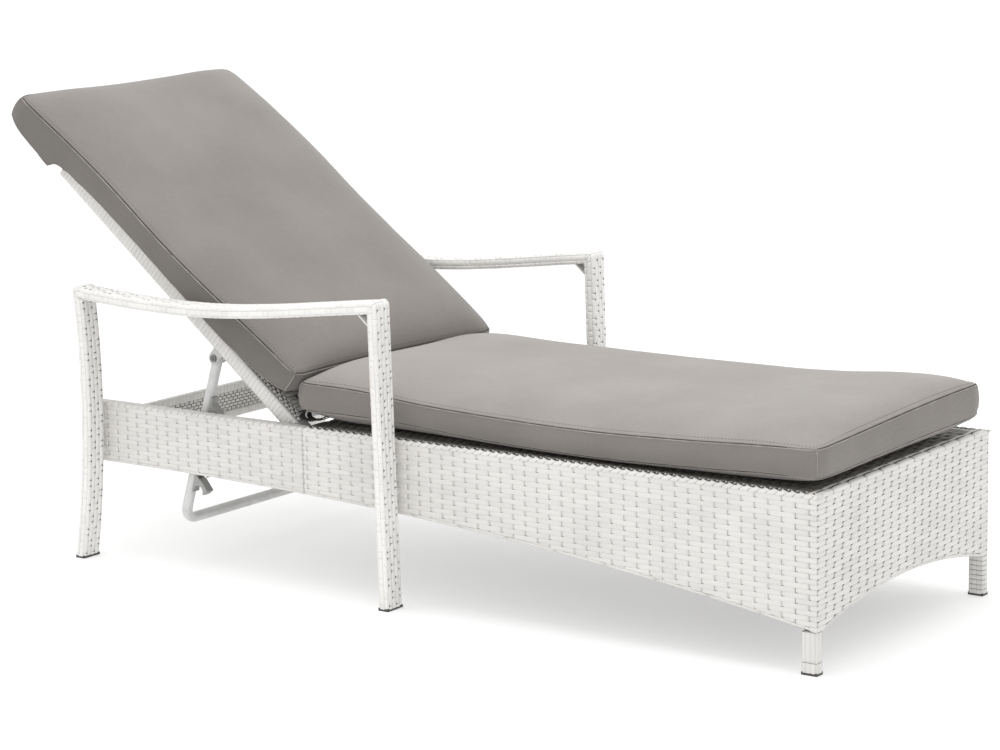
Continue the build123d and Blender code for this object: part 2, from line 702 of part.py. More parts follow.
def back_parts():
    """Everything that reclines."""
    parts = {}
    parts.update(both_sides("back_side_tube", back_side_tube()))
    parts["back_bottom_tube"] = back_cross_tube(BACK_BOTTOM_AT)
    parts["back_mid_tube"] = back_cross_tube(BACK_MID_AT)
    parts["back_top_tube"] = back_cross_tube(BACK_LENGTH - BACK_CROSS / 2)
    parts["back_deck"] = back_deck()
    parts.update(both_sides("prop_bracket", prop_bracket()))
    parts["prop_bolts"] = group([prop_bolt()])
    parts["prop_nuts"] = group([prop_nut()])
    parts["back_cushion"] = back_cushion()
    place = Pos(from_foot(HINGE_FROM_FOOT), 0, HINGE_Z) * Rot(0, RECLINE, 0)
    return {name: place * solid for name, solid in parts.items()}


def prop_parts():
    """The swinging prop with its hook plates."""
    parts = {"prop_bail": prop_bail()}
    parts.update(both_sides("hook_plate", hook_plate()))
    x, z = prop_pivot()
    place = Pos(x, 0, z) * Rot(0, PROP_LEAN, 0)
    return {name: place * solid for name, solid in parts.items()}


def write_parts(parts):
    """One STEP file per part."""
    os.makedirs("parts", exist_ok=True)
    for name, solid in parts.items():
        export_step(solid, "parts/" + name + ".step")


write_parts({**base_parts(), **back_parts(), **prop_parts()})
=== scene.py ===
import json
from math import cos, pi, radians, sin

import bpy
import numpy as np
from mathutils import Matrix, Vector
from mathutils.kdtree import KDTree


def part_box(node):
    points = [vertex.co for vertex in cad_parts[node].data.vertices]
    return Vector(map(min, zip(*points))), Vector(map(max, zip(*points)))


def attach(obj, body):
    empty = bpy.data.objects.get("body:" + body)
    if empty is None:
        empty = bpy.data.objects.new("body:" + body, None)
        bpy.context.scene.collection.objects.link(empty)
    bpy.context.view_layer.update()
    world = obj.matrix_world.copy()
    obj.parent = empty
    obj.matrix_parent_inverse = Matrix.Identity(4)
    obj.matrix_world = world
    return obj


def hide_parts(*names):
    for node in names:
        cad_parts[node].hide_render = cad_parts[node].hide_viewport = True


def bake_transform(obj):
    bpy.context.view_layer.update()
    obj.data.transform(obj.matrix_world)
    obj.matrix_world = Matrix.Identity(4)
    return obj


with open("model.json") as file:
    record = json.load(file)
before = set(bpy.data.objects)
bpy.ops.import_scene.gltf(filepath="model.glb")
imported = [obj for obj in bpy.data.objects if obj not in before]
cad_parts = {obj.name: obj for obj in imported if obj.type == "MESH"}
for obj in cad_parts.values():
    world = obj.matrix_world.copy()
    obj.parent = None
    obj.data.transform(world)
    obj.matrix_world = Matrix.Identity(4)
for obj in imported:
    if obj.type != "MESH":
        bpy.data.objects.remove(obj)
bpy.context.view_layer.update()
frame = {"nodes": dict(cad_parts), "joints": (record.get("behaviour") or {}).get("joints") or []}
rng = np.random.default_rng(7)

# ---- places read from the frame, metres; "distance" runs from the foot-end face towards the head ----
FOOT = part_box("foot_apron")[1].x
RAIL_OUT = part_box("left_side_apron")[1].y
RAIL_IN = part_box("left_side_apron")[0].y
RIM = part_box("foot_apron")[1].z
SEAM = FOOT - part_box("left_side_apron")[0].x
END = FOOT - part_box("left_rear_rail")[0].x
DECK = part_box("seat_deck")[1].z
RECLINE = radians(39)  # the back as modelled
HINGE = Vector(next(j for j in frame["joints"] if j["name"] == "recline")["pos_m"])

FOOT_EDGE = 0.073  # lower edge of the panels at the foot
HEAD_EDGE = 0.187  # and at the head
EDGE_POWER = 2.45
FOOT_ARCH = 0.036

ROW = 0.009  # height of one woven row
SIDE_PITCH = 0.026  # between the stakes that the strands go round
FOOT_PITCH = 0.028
GAP = 0.0001  # between rows
CORE_DEPTH = 0.0017  # of the dark sheets under the strands, painted shade for the gaps between them
SHORTEST = 0.004  # shorter ends of strands are left out
CORE_LOW, CORE_HIGH = 0.002, 0.004  # from a panel's lower edge and rim to the dark sheets of painted shade inside


# ---- materials ----


class Look:
    """New material with a Principled shader, and short ways to add the nodes that feed it."""

    def __init__(self, name, color, roughness, **sockets):
        self.material = bpy.data.materials.new(name)
        self.material.use_nodes = True
        self.nodes, self.links = self.material.node_tree.nodes, self.material.node_tree.links
        self.inputs = self.nodes["Principled BSDF"].inputs
        self.inputs["Base Color"].default_value = (*color, 1)
        self.inputs["Roughness"].default_value = roughness
        for socket, value in sockets.items():
            self.inputs[socket.replace("_", " ")].default_value = value

    def feed(self, socket, value):
        self.links.new(value, self.inputs[socket])

    def coords(self, scale=(1, 1, 1), turn=0.0):
        """Object coordinates turned about Y and scaled."""
        coords = self.nodes.new("ShaderNodeTexCoord")
        mapping = self.nodes.new("ShaderNodeMapping")
        mapping.inputs["Rotation"].default_value = (0, turn, 0)
        mapping.inputs["Scale"].default_value = scale
        self.links.new(coords.outputs["Object"], mapping.inputs["Vector"])
        return mapping.outputs["Vector"]

    def noise(self, vector, scale, detail=3.0):
        tex = self.nodes.new("ShaderNodeTexNoise")
        tex.inputs["Scale"].default_value = scale
        tex.inputs["Detail"].default_value = detail
        self.links.new(vector, tex.inputs["Vector"])
        return tex.outputs["Fac"]

    def color(self, value, low, high, start=0.35, end=0.65):
        """Base colour between two colours by a value."""
        node = self.nodes.new("ShaderNodeValToRGB")
        for element, place, rgb in zip(node.color_ramp.elements, (start, end), (low, high)):
            element.position = place
            element.color = (*rgb, 1)
        self.links.new(value, node.inputs["Fac"])
        self.feed("Base Color", node.outputs["Color"])

    def math(self, operation, *values):
        node = self.nodes.new("ShaderNodeMath")
        node.operation = operation
        for i, value in enumerate(values):
            if isinstance(value, (int, float)):
                node.inputs[i].default_value = value
            else:
                self.links.new(value, node.inputs[i])
        return node.outputs[0]

    def bump(self, height, distance, strength):
        node = self.nodes.new("ShaderNodeBump")
        node.inputs["Distance"].default_value = distance
        node.inputs["Strength"].default_value = strength
        self.links.new(height, node.inputs["Height"])
        self.feed("Normal", node.outputs["Normal"])


def times(color, factor):
    return [c * factor for c in color]


def wicker_material(name, tone, grain, turn=0.0):
    """Moulded resin strand: pale, satin, with a fine grain and a little change from strand to strand."""
    look = Look(name, tone, 0.42, Specular_IOR_Level=0.4)
    streaks = look.noise(look.coords(grain, turn), 1.0, 4.0)
    cloud = look.noise(look.coords(), 9.0, 2.0)
    island = look.nodes.new("ShaderNodeNewGeometry").outputs["Random Per Island"]
    look.color(look.math("MULTIPLY_ADD", island, 0.35, cloud), times(tone, 0.9), tone, 0.35, 0.85)
    look.feed("Roughness", look.math("MULTIPLY_ADD", streaks, 0.25, 0.33))
    look.bump(streaks, 0.00025, 0.6)
    return look.material


def gap_shade_material():
    """Painted shade: a near-black colour for the inside seen between strands, where only shade falls."""
    look = Look("weave_gap_painted_shade", (0.03, 0.028, 0.026), 0.9)
    look.color(look.noise(look.coords(), 400.0), (0.015, 0.014, 0.013), (0.05, 0.047, 0.044))
    return look.material


def fabric_material(name, turn, shade):
    """Plain close-woven outdoor fabric, with thread relief and slubs. shade: factor on its colour; below one it
    is painted shade, for the bands and the back.
    """
    base = times(FABRIC, shade)
    look = Look(name, base, 0.85, Sheen_Weight=0.25, Sheen_Roughness=0.45, Specular_IOR_Level=0.2)
    coords = look.coords(turn=turn)
    waves = []
    for axis in "XYZ":
        wave = look.nodes.new("ShaderNodeTexWave")
        wave.bands_direction = axis
        for socket, value in (("Scale", 260.0), ("Distortion", 0.6), ("Detail Scale", 2.0)):
            wave.inputs[socket].default_value = value
        look.links.new(coords, wave.inputs["Vector"])
        waves.append(wave.outputs["Fac"])
    weave = look.math("MULTIPLY_ADD", waves[2], 0.5, look.math("MULTIPLY", waves[0], waves[1]))
    slub = look.noise(look.coords((300, 60, 300), turn), 1.0, 4.0)
    relief = look.math("MULTIPLY_ADD", slub, 0.6, weave)
    tint = look.math("MULTIPLY_ADD", slub, 0.4, look.noise(coords, 5.0))
    look.color(tint, times(base, 0.9), times(base, 1.12), 0.45, 0.95)
    look.bump(relief, 0.00025, 0.5)
    return look.material


def metal_material(name, color, roughness, metallic, grain):
    """Painted or brushed metal with faint marks and patches."""
    look = Look(name, color, roughness, Metallic=metallic)
    marks = look.noise(look.coords(grain), 1.0, 5.0)
    look.color(look.noise(look.coords(), 30.0), times(color, 0.82), color, 0.3, 0.6)
    look.feed("Roughness", look.math("MULTIPLY_ADD", marks, 0.3, roughness - 0.12))
    look.bump(marks, 0.0002, 0.4)
    return look.material


def plastic_material(name, color, roughness):
    """Moulded plastic or waxed thread with a fine texture."""
    look = Look(name, color, roughness)
    pebble = look.noise(look.coords(), 900.0, 2.0)
    look.color(look.noise(look.coords(), 40.0), times(color, 0.7), color)
    look.bump(pebble, 0.0002, 0.5)
    return look.material


WHITE = (0.68, 0.665, 0.64)
# a lighter copy of WHITE for the armrests and the brace: painted light on their lit faces
ARM_WHITE_PAINTED_LIGHT = (0.79, 0.78, 0.76)
FABRIC = (0.277, 0.256, 0.238)
ALONG_X, ALONG_Y, ALONG_Z = (8, 900, 900), (900, 8, 900), (900, 900, 8)  # grain of a strand
wicker_x = wicker_material("wicker_lengthwise", WHITE, ALONG_X)
wicker_y = wicker_material("wicker_crosswise", WHITE, ALONG_Y)
wicker_z = wicker_material("wicker_upright", WHITE, ALONG_Z)
arm_rail_wicker_painted_light = wicker_material("wicker_arm_rail_painted_light", ARM_WHITE_PAINTED_LIGHT, ALONG_X)
arm_leg_wicker_painted_light = wicker_material("wicker_arm_leg_painted_light", ARM_WHITE_PAINTED_LIGHT, ALONG_Z)
wicker_back = wicker_material("wicker_backrest", WHITE, ALONG_X, RECLINE)
# the seat deck and the top of the foot rim lie under the cushion; their dark tone is painted shade
wicker_deck_painted_shade = wicker_material("wicker_deck_painted_shade", (0.2, 0.19, 0.172), ALONG_Y)
gap_painted_shade = gap_shade_material()
# the bands and the back are darker copies of the seat's fabric: painted shade on the cushions' sides and on the
# reclined back
fabric_seat = fabric_material("fabric_seat", 0.0, 1.04)
fabric_back_painted_shade = fabric_material("fabric_back_painted_shade", -RECLINE, 0.78)
band_seat_painted_shade = fabric_material("fabric_seat_band_painted_shade", 0.0, 0.7)
band_back_painted_shade = fabric_material("fabric_back_band_painted_shade", -RECLINE, 0.56)
frame_paint = metal_material("frame_powder_coat", (0.5, 0.5, 0.49), 0.45, 0.0, (60, 60, 60))
prop_paint = metal_material("prop_tube_coat", (0.64, 0.64, 0.63), 0.4, 0.1, (40, 40, 8))
hook_steel = metal_material("hook_sheet_steel", (0.36, 0.36, 0.35), 0.45, 0.4, (30, 900, 30))
bolt_steel = metal_material("fastener_steel", (0.22, 0.22, 0.22), 0.35, 0.9, (900, 900, 900))
# near-black coat on the hinge plates: painted shade of the deep shadow under the back
plate_painted_shade = metal_material("hinge_plate_painted_shade", (0.13, 0.125, 0.12), 0.5, 0.0, (60, 60, 60))
cap_plastic = plastic_material("cap_plastic", (0.05, 0.048, 0.045), 0.55)
thread = plastic_material("seam_thread", (0.05, 0.047, 0.044), 0.85)
# lighter than the fabric: a painted highlight along the seams' lips and the corner creases
lip = plastic_material("seam_lip_painted_highlight", (0.33, 0.315, 0.295), 0.85)
stitch = plastic_material("stitch_thread", (0.19, 0.175, 0.163), 0.85)


# ---- meshes ----
SIDES = ((-1, "right"), (1, "left"))


def show(obj):
    bpy.context.scene.collection.objects.link(obj)
    return obj


def mesh_object(name, parts, materials):
    """Object from (vertices, quads, material number) parts. Quads that come with no vertices use the first."""
    verts, quads, numbers, start = [], [], [], 0
    for places, faces, number in parts:
        verts.append(places)
        quads.append(faces + (start if len(places) else 0))
        numbers.append(np.full(len(faces), number))
        start += len(places)
    verts, quads, numbers = np.concatenate(verts), np.concatenate(quads), np.concatenate(numbers)
    mesh = bpy.data.meshes.new(name)
    mesh.vertices.add(len(verts))
    mesh.vertices.foreach_set("co", verts.ravel())
    mesh.loops.add(quads.size)
    mesh.loops.foreach_set("vertex_index", quads.ravel().astype(np.int32))
    mesh.polygons.add(len(quads))
    mesh.polygons.foreach_set("loop_start", np.arange(0, quads.size, 4, dtype=np.int32))
    mesh.polygons.foreach_set("material_index", numbers.astype(np.int32))
    mesh.polygons.foreach_set("use_smooth", np.full(len(quads), True))
    mesh.update(calc_edges=True)
    mesh.validate()
    for material in materials:
        mesh.materials.append(material)
    return show(bpy.data.objects.new(name, mesh))


def piece(obj, body, slot, *nodes):
    if isinstance(body, str):
        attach(obj, body)
    else:
        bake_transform(obj)
    if nodes:
        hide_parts(*nodes)


def woven(name, parts, material, body, *nodes, extra=()):
    """New woven piece, made of a strand material, the painted shade between the strands and any extra material.
    """
    piece(mesh_object(name, parts, [material, gap_painted_shade, *extra]), body, "wicker", *nodes)


def grid_quads(count, rows, columns, flip):
    """Quads of a stack of equal grids."""
    i, j = np.meshgrid(np.arange(rows - 1), np.arange(columns - 1), indexing="ij")
    first = i * columns + j
    corners = [first, first + columns, first + columns + 1, first + 1]
    one = np.stack(corners[::-1] if flip else corners, -1).reshape(-1, 4)
    return (one[None] + (np.arange(count) * rows * columns)[:, None, None]).reshape(-1, 4)


def outward(place, s, t):
    """True if s, t and the outward direction of a surface make a left-handed set."""
    step = 1e-4
    origin, along, across, out = (
        place(np.array([s + a]), np.array([t + b]), np.array([c]))[0]
        for a, b, c in ((0, 0, 0), (step, 0, 0), (0, step, 0), (0, 0, step))
    )
    return np.dot(np.cross(along - origin, across - origin), out - origin) < 0


def strands(place, spans, number=0, lift=0.0, bulge=0.0006, crown=0.0002, tuck=0.0018, side_tuck=0.0003,
            edge=0.0003, side_edge=0.0004, at=(0, 0.12, 0.5, 0.88, 1), corners=None, nicks=(), lean=0.0,
            floor=None, loose=0.0001):
    """Strips with tucked edges over a surface. Each span is s0, s1, t0, t1; place(s, t, height) gives points.
    corners: size cut off each corner, [strip][s end][t end]; nicks: (s end, t end, size) lifted in t only."""
    spans = np.asarray(spans, float)
    s0, s1, t0, t1 = (spans[:, i][:, None, None] for i in range(4))
    count, steps = len(spans), len(at)
    part_s = np.array([at[0], *at, at[-1]])[None, :, None]
    part_t = np.array([0, 0, 0.5, 1, 1])[None, None, :]
    rim_s = np.zeros(steps + 2)
    rim_s[[0, -1]] = (-1, 1)
    rim_t = np.array([-1, 0, 0, 0, 1])
    s = s0 + edge + (s1 - s0 - 2 * edge) * part_s + edge * rim_s[None, :, None] + 0 * part_t
    t = t0 + side_edge + (t1 - t0 - 2 * side_edge) * part_t + side_edge * rim_t[None, None, :] + 0 * part_s
    for i in (0, 1):
        for j in (0, 1):
            here = (part_s == i) & (part_t == j)
            if corners is not None:
                size = np.asarray(corners)[:, i, j][:, None, None] * here
                s = s + size * (1 - 2 * i)
                t = t + size * (1 - 2 * j)
            for ni, nj, size in nicks:
                if (ni, nj) == (i, j):
                    t = t + size * here * (1 - 2 * j)
    s = s + lean * (t - t0)
    if floor is not None:
        t = np.maximum(t, floor(s))
    height = lift + bulge * np.sin(pi * part_s) + crown * (1 - (2 * part_t - 1) ** 2)
    height = height + rng.uniform(-loose, loose, (count, 1, 1))
    height = np.where((rim_t != 0)[None, None, :], -side_tuck, height)
    height = np.where((rim_s != 0)[None, :, None], -tuck, height)
    s, t, height = np.broadcast_arrays(s, t, height)
    found = place(s.ravel(), t.ravel(), height.ravel())
    flip = outward(place, float(spans[0, :2].mean()), float(spans[0, 2:].mean()))
    return found, grid_quads(count, steps + 2, 5, flip), number


def sheet(place, s_values, t_values, depth=CORE_DEPTH):
    """Dark surface under the strands, painted shade for the gaps between them."""
    s, t = np.meshgrid(s_values, t_values, indexing="ij")
    found = place(s.ravel(), t.ravel(), np.full(s.size, -depth))
    flip = outward(place, float(s_values[0]), float(t_values[0]))
    return found, grid_quads(1, len(s_values), len(t_values), flip), 1


def bricks(s_low, s_high, t_low, t_high, pitch, row, slit, first=None, last=0.0):
    """Spans of a plain weave: each strand shows between every second stake, and the next row is offset by one.
    first: where even and odd rows start; last: how much sooner they end, mirrored."""
    spans = []
    rows = max(1, round((t_high - t_low) / row))
    height = (t_high - t_low) / rows
    for r in range(rows):
        odd = r % 2
        low = first[odd] if first else s_low
        high = s_high - last * odd
        slit_at = low if first else s_low + (odd - 2) * pitch
        while slit_at < high:
            s0, s1 = max(low, slit_at + slit / 2), min(high, slit_at + 2 * pitch - slit / 2)
            if s1 - s0 > SHORTEST:
                spans.append((s0, s1, t_low + r * height + GAP / 2, t_low + (r + 1) * height - GAP / 2))
            slit_at += 2 * pitch
    return np.array(spans)


def clear_of(spans, floor):
    """The spans that reach above a lower edge."""
    lowest = np.minimum(floor(spans[:, 0]), floor(spans[:, 1]))
    return spans[spans[:, 3] > lowest + 0.0004]


def points(x, y, z):
    return np.stack(np.broadcast_arrays(x, y, z), -1)


def lower_edge(distance):
    return HEAD_EDGE - (HEAD_EDGE - FOOT_EDGE) * np.clip(1 - distance / END, 0, 1) ** EDGE_POWER


# ---- side panels ----
BORDER = 0.0062  # height of the strand along a lower edge
FOOT_R = 0.004  # rounding of the lower edges
RIM_DROP = 0.006  # from the rim to the top row
RIM_R = 0.005
RIM_PITCH = 0.0172  # between the strands over a rim
CORNER_R = 0.004
SIDE_FIRST = (0.041, 0.015)  # first slit on the side past the foot corner, even and odd rows
FOOT_FIRST = (0.003, 0.031)  # and on the foot face


def face_y(side, y, out):
    """A panel face at one y, looking out along Y."""
    return lambda s, t, h: points(FOOT - s, side * (y + out * h), t)


def run_length(values):
    """Length along a line given as rows of coordinates."""
    return np.concatenate([[0], np.cumsum(np.hypot(*np.diff(values, axis=1)))])


def edge_profile(width, drop, radius):
    """Points and outward directions round the edge of a panel: up one face, over the edge, down the other."""
    half = width / 2
    across, up, n_across, n_up = [half, half], [-drop, -radius], [1, 1], [0, 0]
    for angle in np.linspace(0, pi / 2, 5)[1:]:
        across.append(half - radius + radius * cos(angle))
        up.append(-radius + radius * sin(angle))
        n_across.append(cos(angle))
        n_up.append(sin(angle))
    profile = np.array([across, up, n_across, n_up])
    mirrored = profile[:, ::-1] * np.array([-1, 1, -1, 1])[:, None]
    profile = np.concatenate([profile, mirrored], 1)
    return run_length(profile[:2]), profile


def along_edge(profile, t):
    """Across, up and outward direction at a length t along a profile."""
    length, values = profile
    return [np.interp(t, length, v) for v in values]


side_rim = edge_profile(RAIL_OUT - RAIL_IN, RIM_DROP, RIM_R)
side_foot = edge_profile(RAIL_OUT - RAIL_IN, BORDER, FOOT_R)


TOP = RIM - RIM_DROP
ROWS = int((TOP - FOOT_EDGE) / ROW) + 1
LOWEST = TOP - ROWS * ROW  # lower side of the lowest row


def core(x, y, low, flip):
    """Dark sheet behind a face's strands, painted shade for the gaps, from the panel's lower edge to its rim."""
    edges = [points(x, y, z) for z in (low + CORE_LOW, np.full(len(low), RIM - CORE_HIGH))]
    return np.stack(edges, 1).reshape(-1, 3), grid_quads(1, len(low), 2, flip), 1


def border_strands(place, start, end, pitch, length):
    """Long strands along a panel's lower edge: one over each face and one under the edge."""
    found = []
    for t0, t1 in ((0, BORDER - 0.0002), (BORDER, length - BORDER), (length - BORDER + 0.0002, length)):
        spans = bricks(start, end, t0, t1, pitch, 1.0, 0.0006)
        found.append(strands(place, spans, bulge=0.0003, lift=-0.0002, at=np.linspace(0, 1, 8), side_tuck=0.0006))
    return found


def oval(spans, size):
    return np.full((len(spans), 2, 2), size)


def tube_bands(face, start, end, border):
    """Inner face of a rear rail: a tube wrapped crosswise above and below, and a finer open weave between."""
    found = []
    for low, high in ((HEAD_EDGE - 0.04, HEAD_EDGE + 0.032), (RIM - 0.036, RIM - RIM_DROP)):
        spans = np.array([(s, s + 0.0102, low, high) for s in np.arange(start, end - 0.0102, 0.0104)])
        found.append(strands(face, spans, floor=border, lift=0.0003, bulge=0.0005, crown=0.0, side_tuck=0.001))
    spans = bricks(start, end, HEAD_EDGE + 0.033, RIM - 0.037, 0.0066, 0.0062, 0.0022)
    spans[:, 2:] += (0.0003, -0.0003)
    found.append(strands(face, spans, lift=-0.0010, bulge=0.0008, side_tuck=0.0012))
    return found


def side_panel(name, side, start, end, node, covered):
    """Woven skin of one side between two distances from the foot. covered: lies beside the seat cushion."""
    middle = (RAIL_OUT + RAIL_IN) / 2
    parts = []
    stations = np.linspace(start, end, 40)

    def over_rim(s, t, h):
        across, up, na, nu = along_edge(side_rim, t)
        return points(FOOT - s, side * (middle + across + na * h), RIM + up + nu * h)

    def under_edge(s, t, h):
        across, up, na, nu = along_edge(side_foot, t)
        return points(FOOT - s, side * (middle + across + na * h), lower_edge(s) - up - nu * h)

    def border(s):
        return lower_edge(s) + BORDER

    for out, y, slit in ((1, RAIL_OUT, 0.0007), (-1, RAIL_IN, 0.0012)):
        face = face_y(side, y, out)
        if out < 0 and not covered:
            parts += tube_bands(face, start, end, border)
            continue
        first = SIDE_FIRST if covered and out > 0 else None
        spans = clear_of(bricks(start, end, LOWEST, TOP, SIDE_PITCH, ROW, slit, first), border)
        parts.append(strands(face, spans, floor=border, lift=-0.0002, bulge=0.0003, side_tuck=0.0002,
                             nicks=((1, 0, 0.001),)))
    for out, y in ((1, RAIL_OUT), (-1, RAIL_IN)):
        parts.append(core(FOOT - stations, side * (y - out * CORE_DEPTH), lower_edge(stations), side * out < 0))
    if not covered:
        def end_face(s, t, h):
            return points(FOOT - end - h, side * s, t)

        heights = np.arange(lower_edge(end) + 0.003, RIM - 0.010, 0.0075)
        spans = [(RAIL_IN + 0.001, RAIL_OUT - 0.001, z, z + 0.0073) for z in heights]
        parts.append(strands(end_face, spans, lift=0.0002, bulge=0.0008, crown=0.0003, side_tuck=0.001))
    length = side_rim[0][-1]
    at = np.arange(start - 0.010 if covered else start, end - 0.004, RIM_PITCH)
    limit = (0.0003 if covered else start, end)
    if covered:
        shoulder = RIM_DROP + 0.004
        for t0, t1, lean in ((0, shoulder, -0.7), (length - shoulder, length, 0.7)):
            spans = [(s + 0.0003, s + RIM_PITCH - 0.0003, t0, t1) for s in at]
            parts.append(wrap(over_rim, spans, lean, 0.0006, 9, limit, 0.0012))
        for t0, s_size, t_size, shift in ((-0.001, 0.0085, 0.0034, 0), (0.005, 0.0045, 0.0026, 0.4),
                                          (0.0095, 0.0045, 0.0026, 0.9)):
            t0 += shoulder
            starts = at + RIM_PITCH * shift
            spans = np.array([(s, s + s_size, t0, t0 + t_size) for s in starts if s + s_size < end])
            parts.append(strands(over_rim, spans, lift=0.0004, crown=0.0009, tuck=0.001, side_tuck=0.001,
                                 edge=0.0007, side_edge=0.0006, corners=oval(spans, 0.0008), lean=-0.8))
    else:
        spans = [(s + 0.0003, s + RIM_PITCH - 0.0003, 0.0, length) for s in at]
        parts.append(wrap(over_rim, spans, -0.45, 0.0006, 16, limit, 0.0009))
    parts += border_strands(under_edge, start, end, SIDE_PITCH * 2, side_foot[0][-1])
    # dark sheets over the rim and under the lower edge, painted shade between the strands; over a covered rim
    # they make its dark top
    parts.append(sheet(over_rim, stations, np.linspace(0, length, 16), 0.0014 if covered else 0.0025))
    parts.append(sheet(under_edge, stations, np.linspace(0, side_foot[0][-1], 12)))
    # dark end faces of the panel, painted shade
    for s, inset in ((start, -0.0015), (end, 0.0015)):
        low, high = lower_edge(s) + CORE_LOW, RIM - CORE_HIGH
        ends = points(FOOT - s + inset, side * np.array([RAIL_OUT, RAIL_OUT, RAIL_IN, RAIL_IN]),
                      np.array([low, high, high, low]))
        parts.append((ends, np.array([[0, 1, 2, 3]]), 1))
    woven(name, parts, wicker_x, "base", node)


def wrap(place, spans, lean, crown, t_steps, s_limits, tuck):
    """Strands that go right over an edge: narrow in s, long in t, rounded across."""
    spans = np.asarray(spans, float)
    s0, s1, t0, t1 = (spans[:, i][:, None, None] for i in range(4))
    part_s = np.array([0, 0.12, 0.5, 0.88, 1])[None, :, None]
    part_t = np.linspace(0, 1, t_steps)[None, None, :]
    t = t0 + (t1 - t0) * part_t + 0 * part_s
    s = s0 + (s1 - s0) * part_s + lean * (t - t0)
    s = np.clip(s, *s_limits)
    height = crown * (1 - (2 * part_s - 1) ** 2) - tuck * ((part_s == 0) | (part_s == 1)) + 0 * part_t
    height = height + rng.uniform(-0.00015, 0.00015, (len(spans), 1, 1))
    s, t, height = np.broadcast_arrays(s, t, height)
    found = place(s.ravel(), t.ravel(), height.ravel())
    flip = outward(place, float(spans[0, :2].mean()), float(spans[0, 2] + 1e-3))
    return found, grid_quads(len(spans), 5, t_steps, flip), 0


for side, word in SIDES:
    side_panel(word + "_side_weave", side, 0.0045, SEAM - 0.0003, word + "_side_apron", True)
    side_panel(word + "_rear_rail_weave", side, SEAM + 0.0003, END, word + "_rear_rail", False)


# ---- foot panel ----
FOOT_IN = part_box("foot_apron")[0].x
foot_rim = edge_profile(FOOT - FOOT_IN, RIM_DROP, RIM_R)
foot_border = edge_profile(FOOT - FOOT_IN, BORDER, FOOT_R)
FOOT_WRAPS = 11  # strands over the foot panel's rim


def arch(y):
    """Lower edge of the foot panel, an arc that is level at the corner posts."""
    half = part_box("foot_apron")[1].y
    radius = (half**2 + FOOT_ARCH**2) / (2 * FOOT_ARCH)
    inside = np.clip(np.abs(y), 0, half)
    return FOOT_EDGE + FOOT_ARCH - radius + np.sqrt(radius**2 - inside**2)


def corner_place(side):
    """Skin round a foot corner: negative s on the foot face, positive s on the side."""

    def place(s, t, h):
        angle = np.clip((s + CORNER_R) / (2 * CORNER_R), 0, 1) * pi / 2
        reach = CORNER_R + h
        x = FOOT - CORNER_R + reach * np.cos(angle) - np.maximum(s - CORNER_R, 0)
        y = RAIL_OUT - CORNER_R + reach * np.sin(angle) + np.minimum(s + CORNER_R, 0)
        return points(x, side * y, t)

    return place


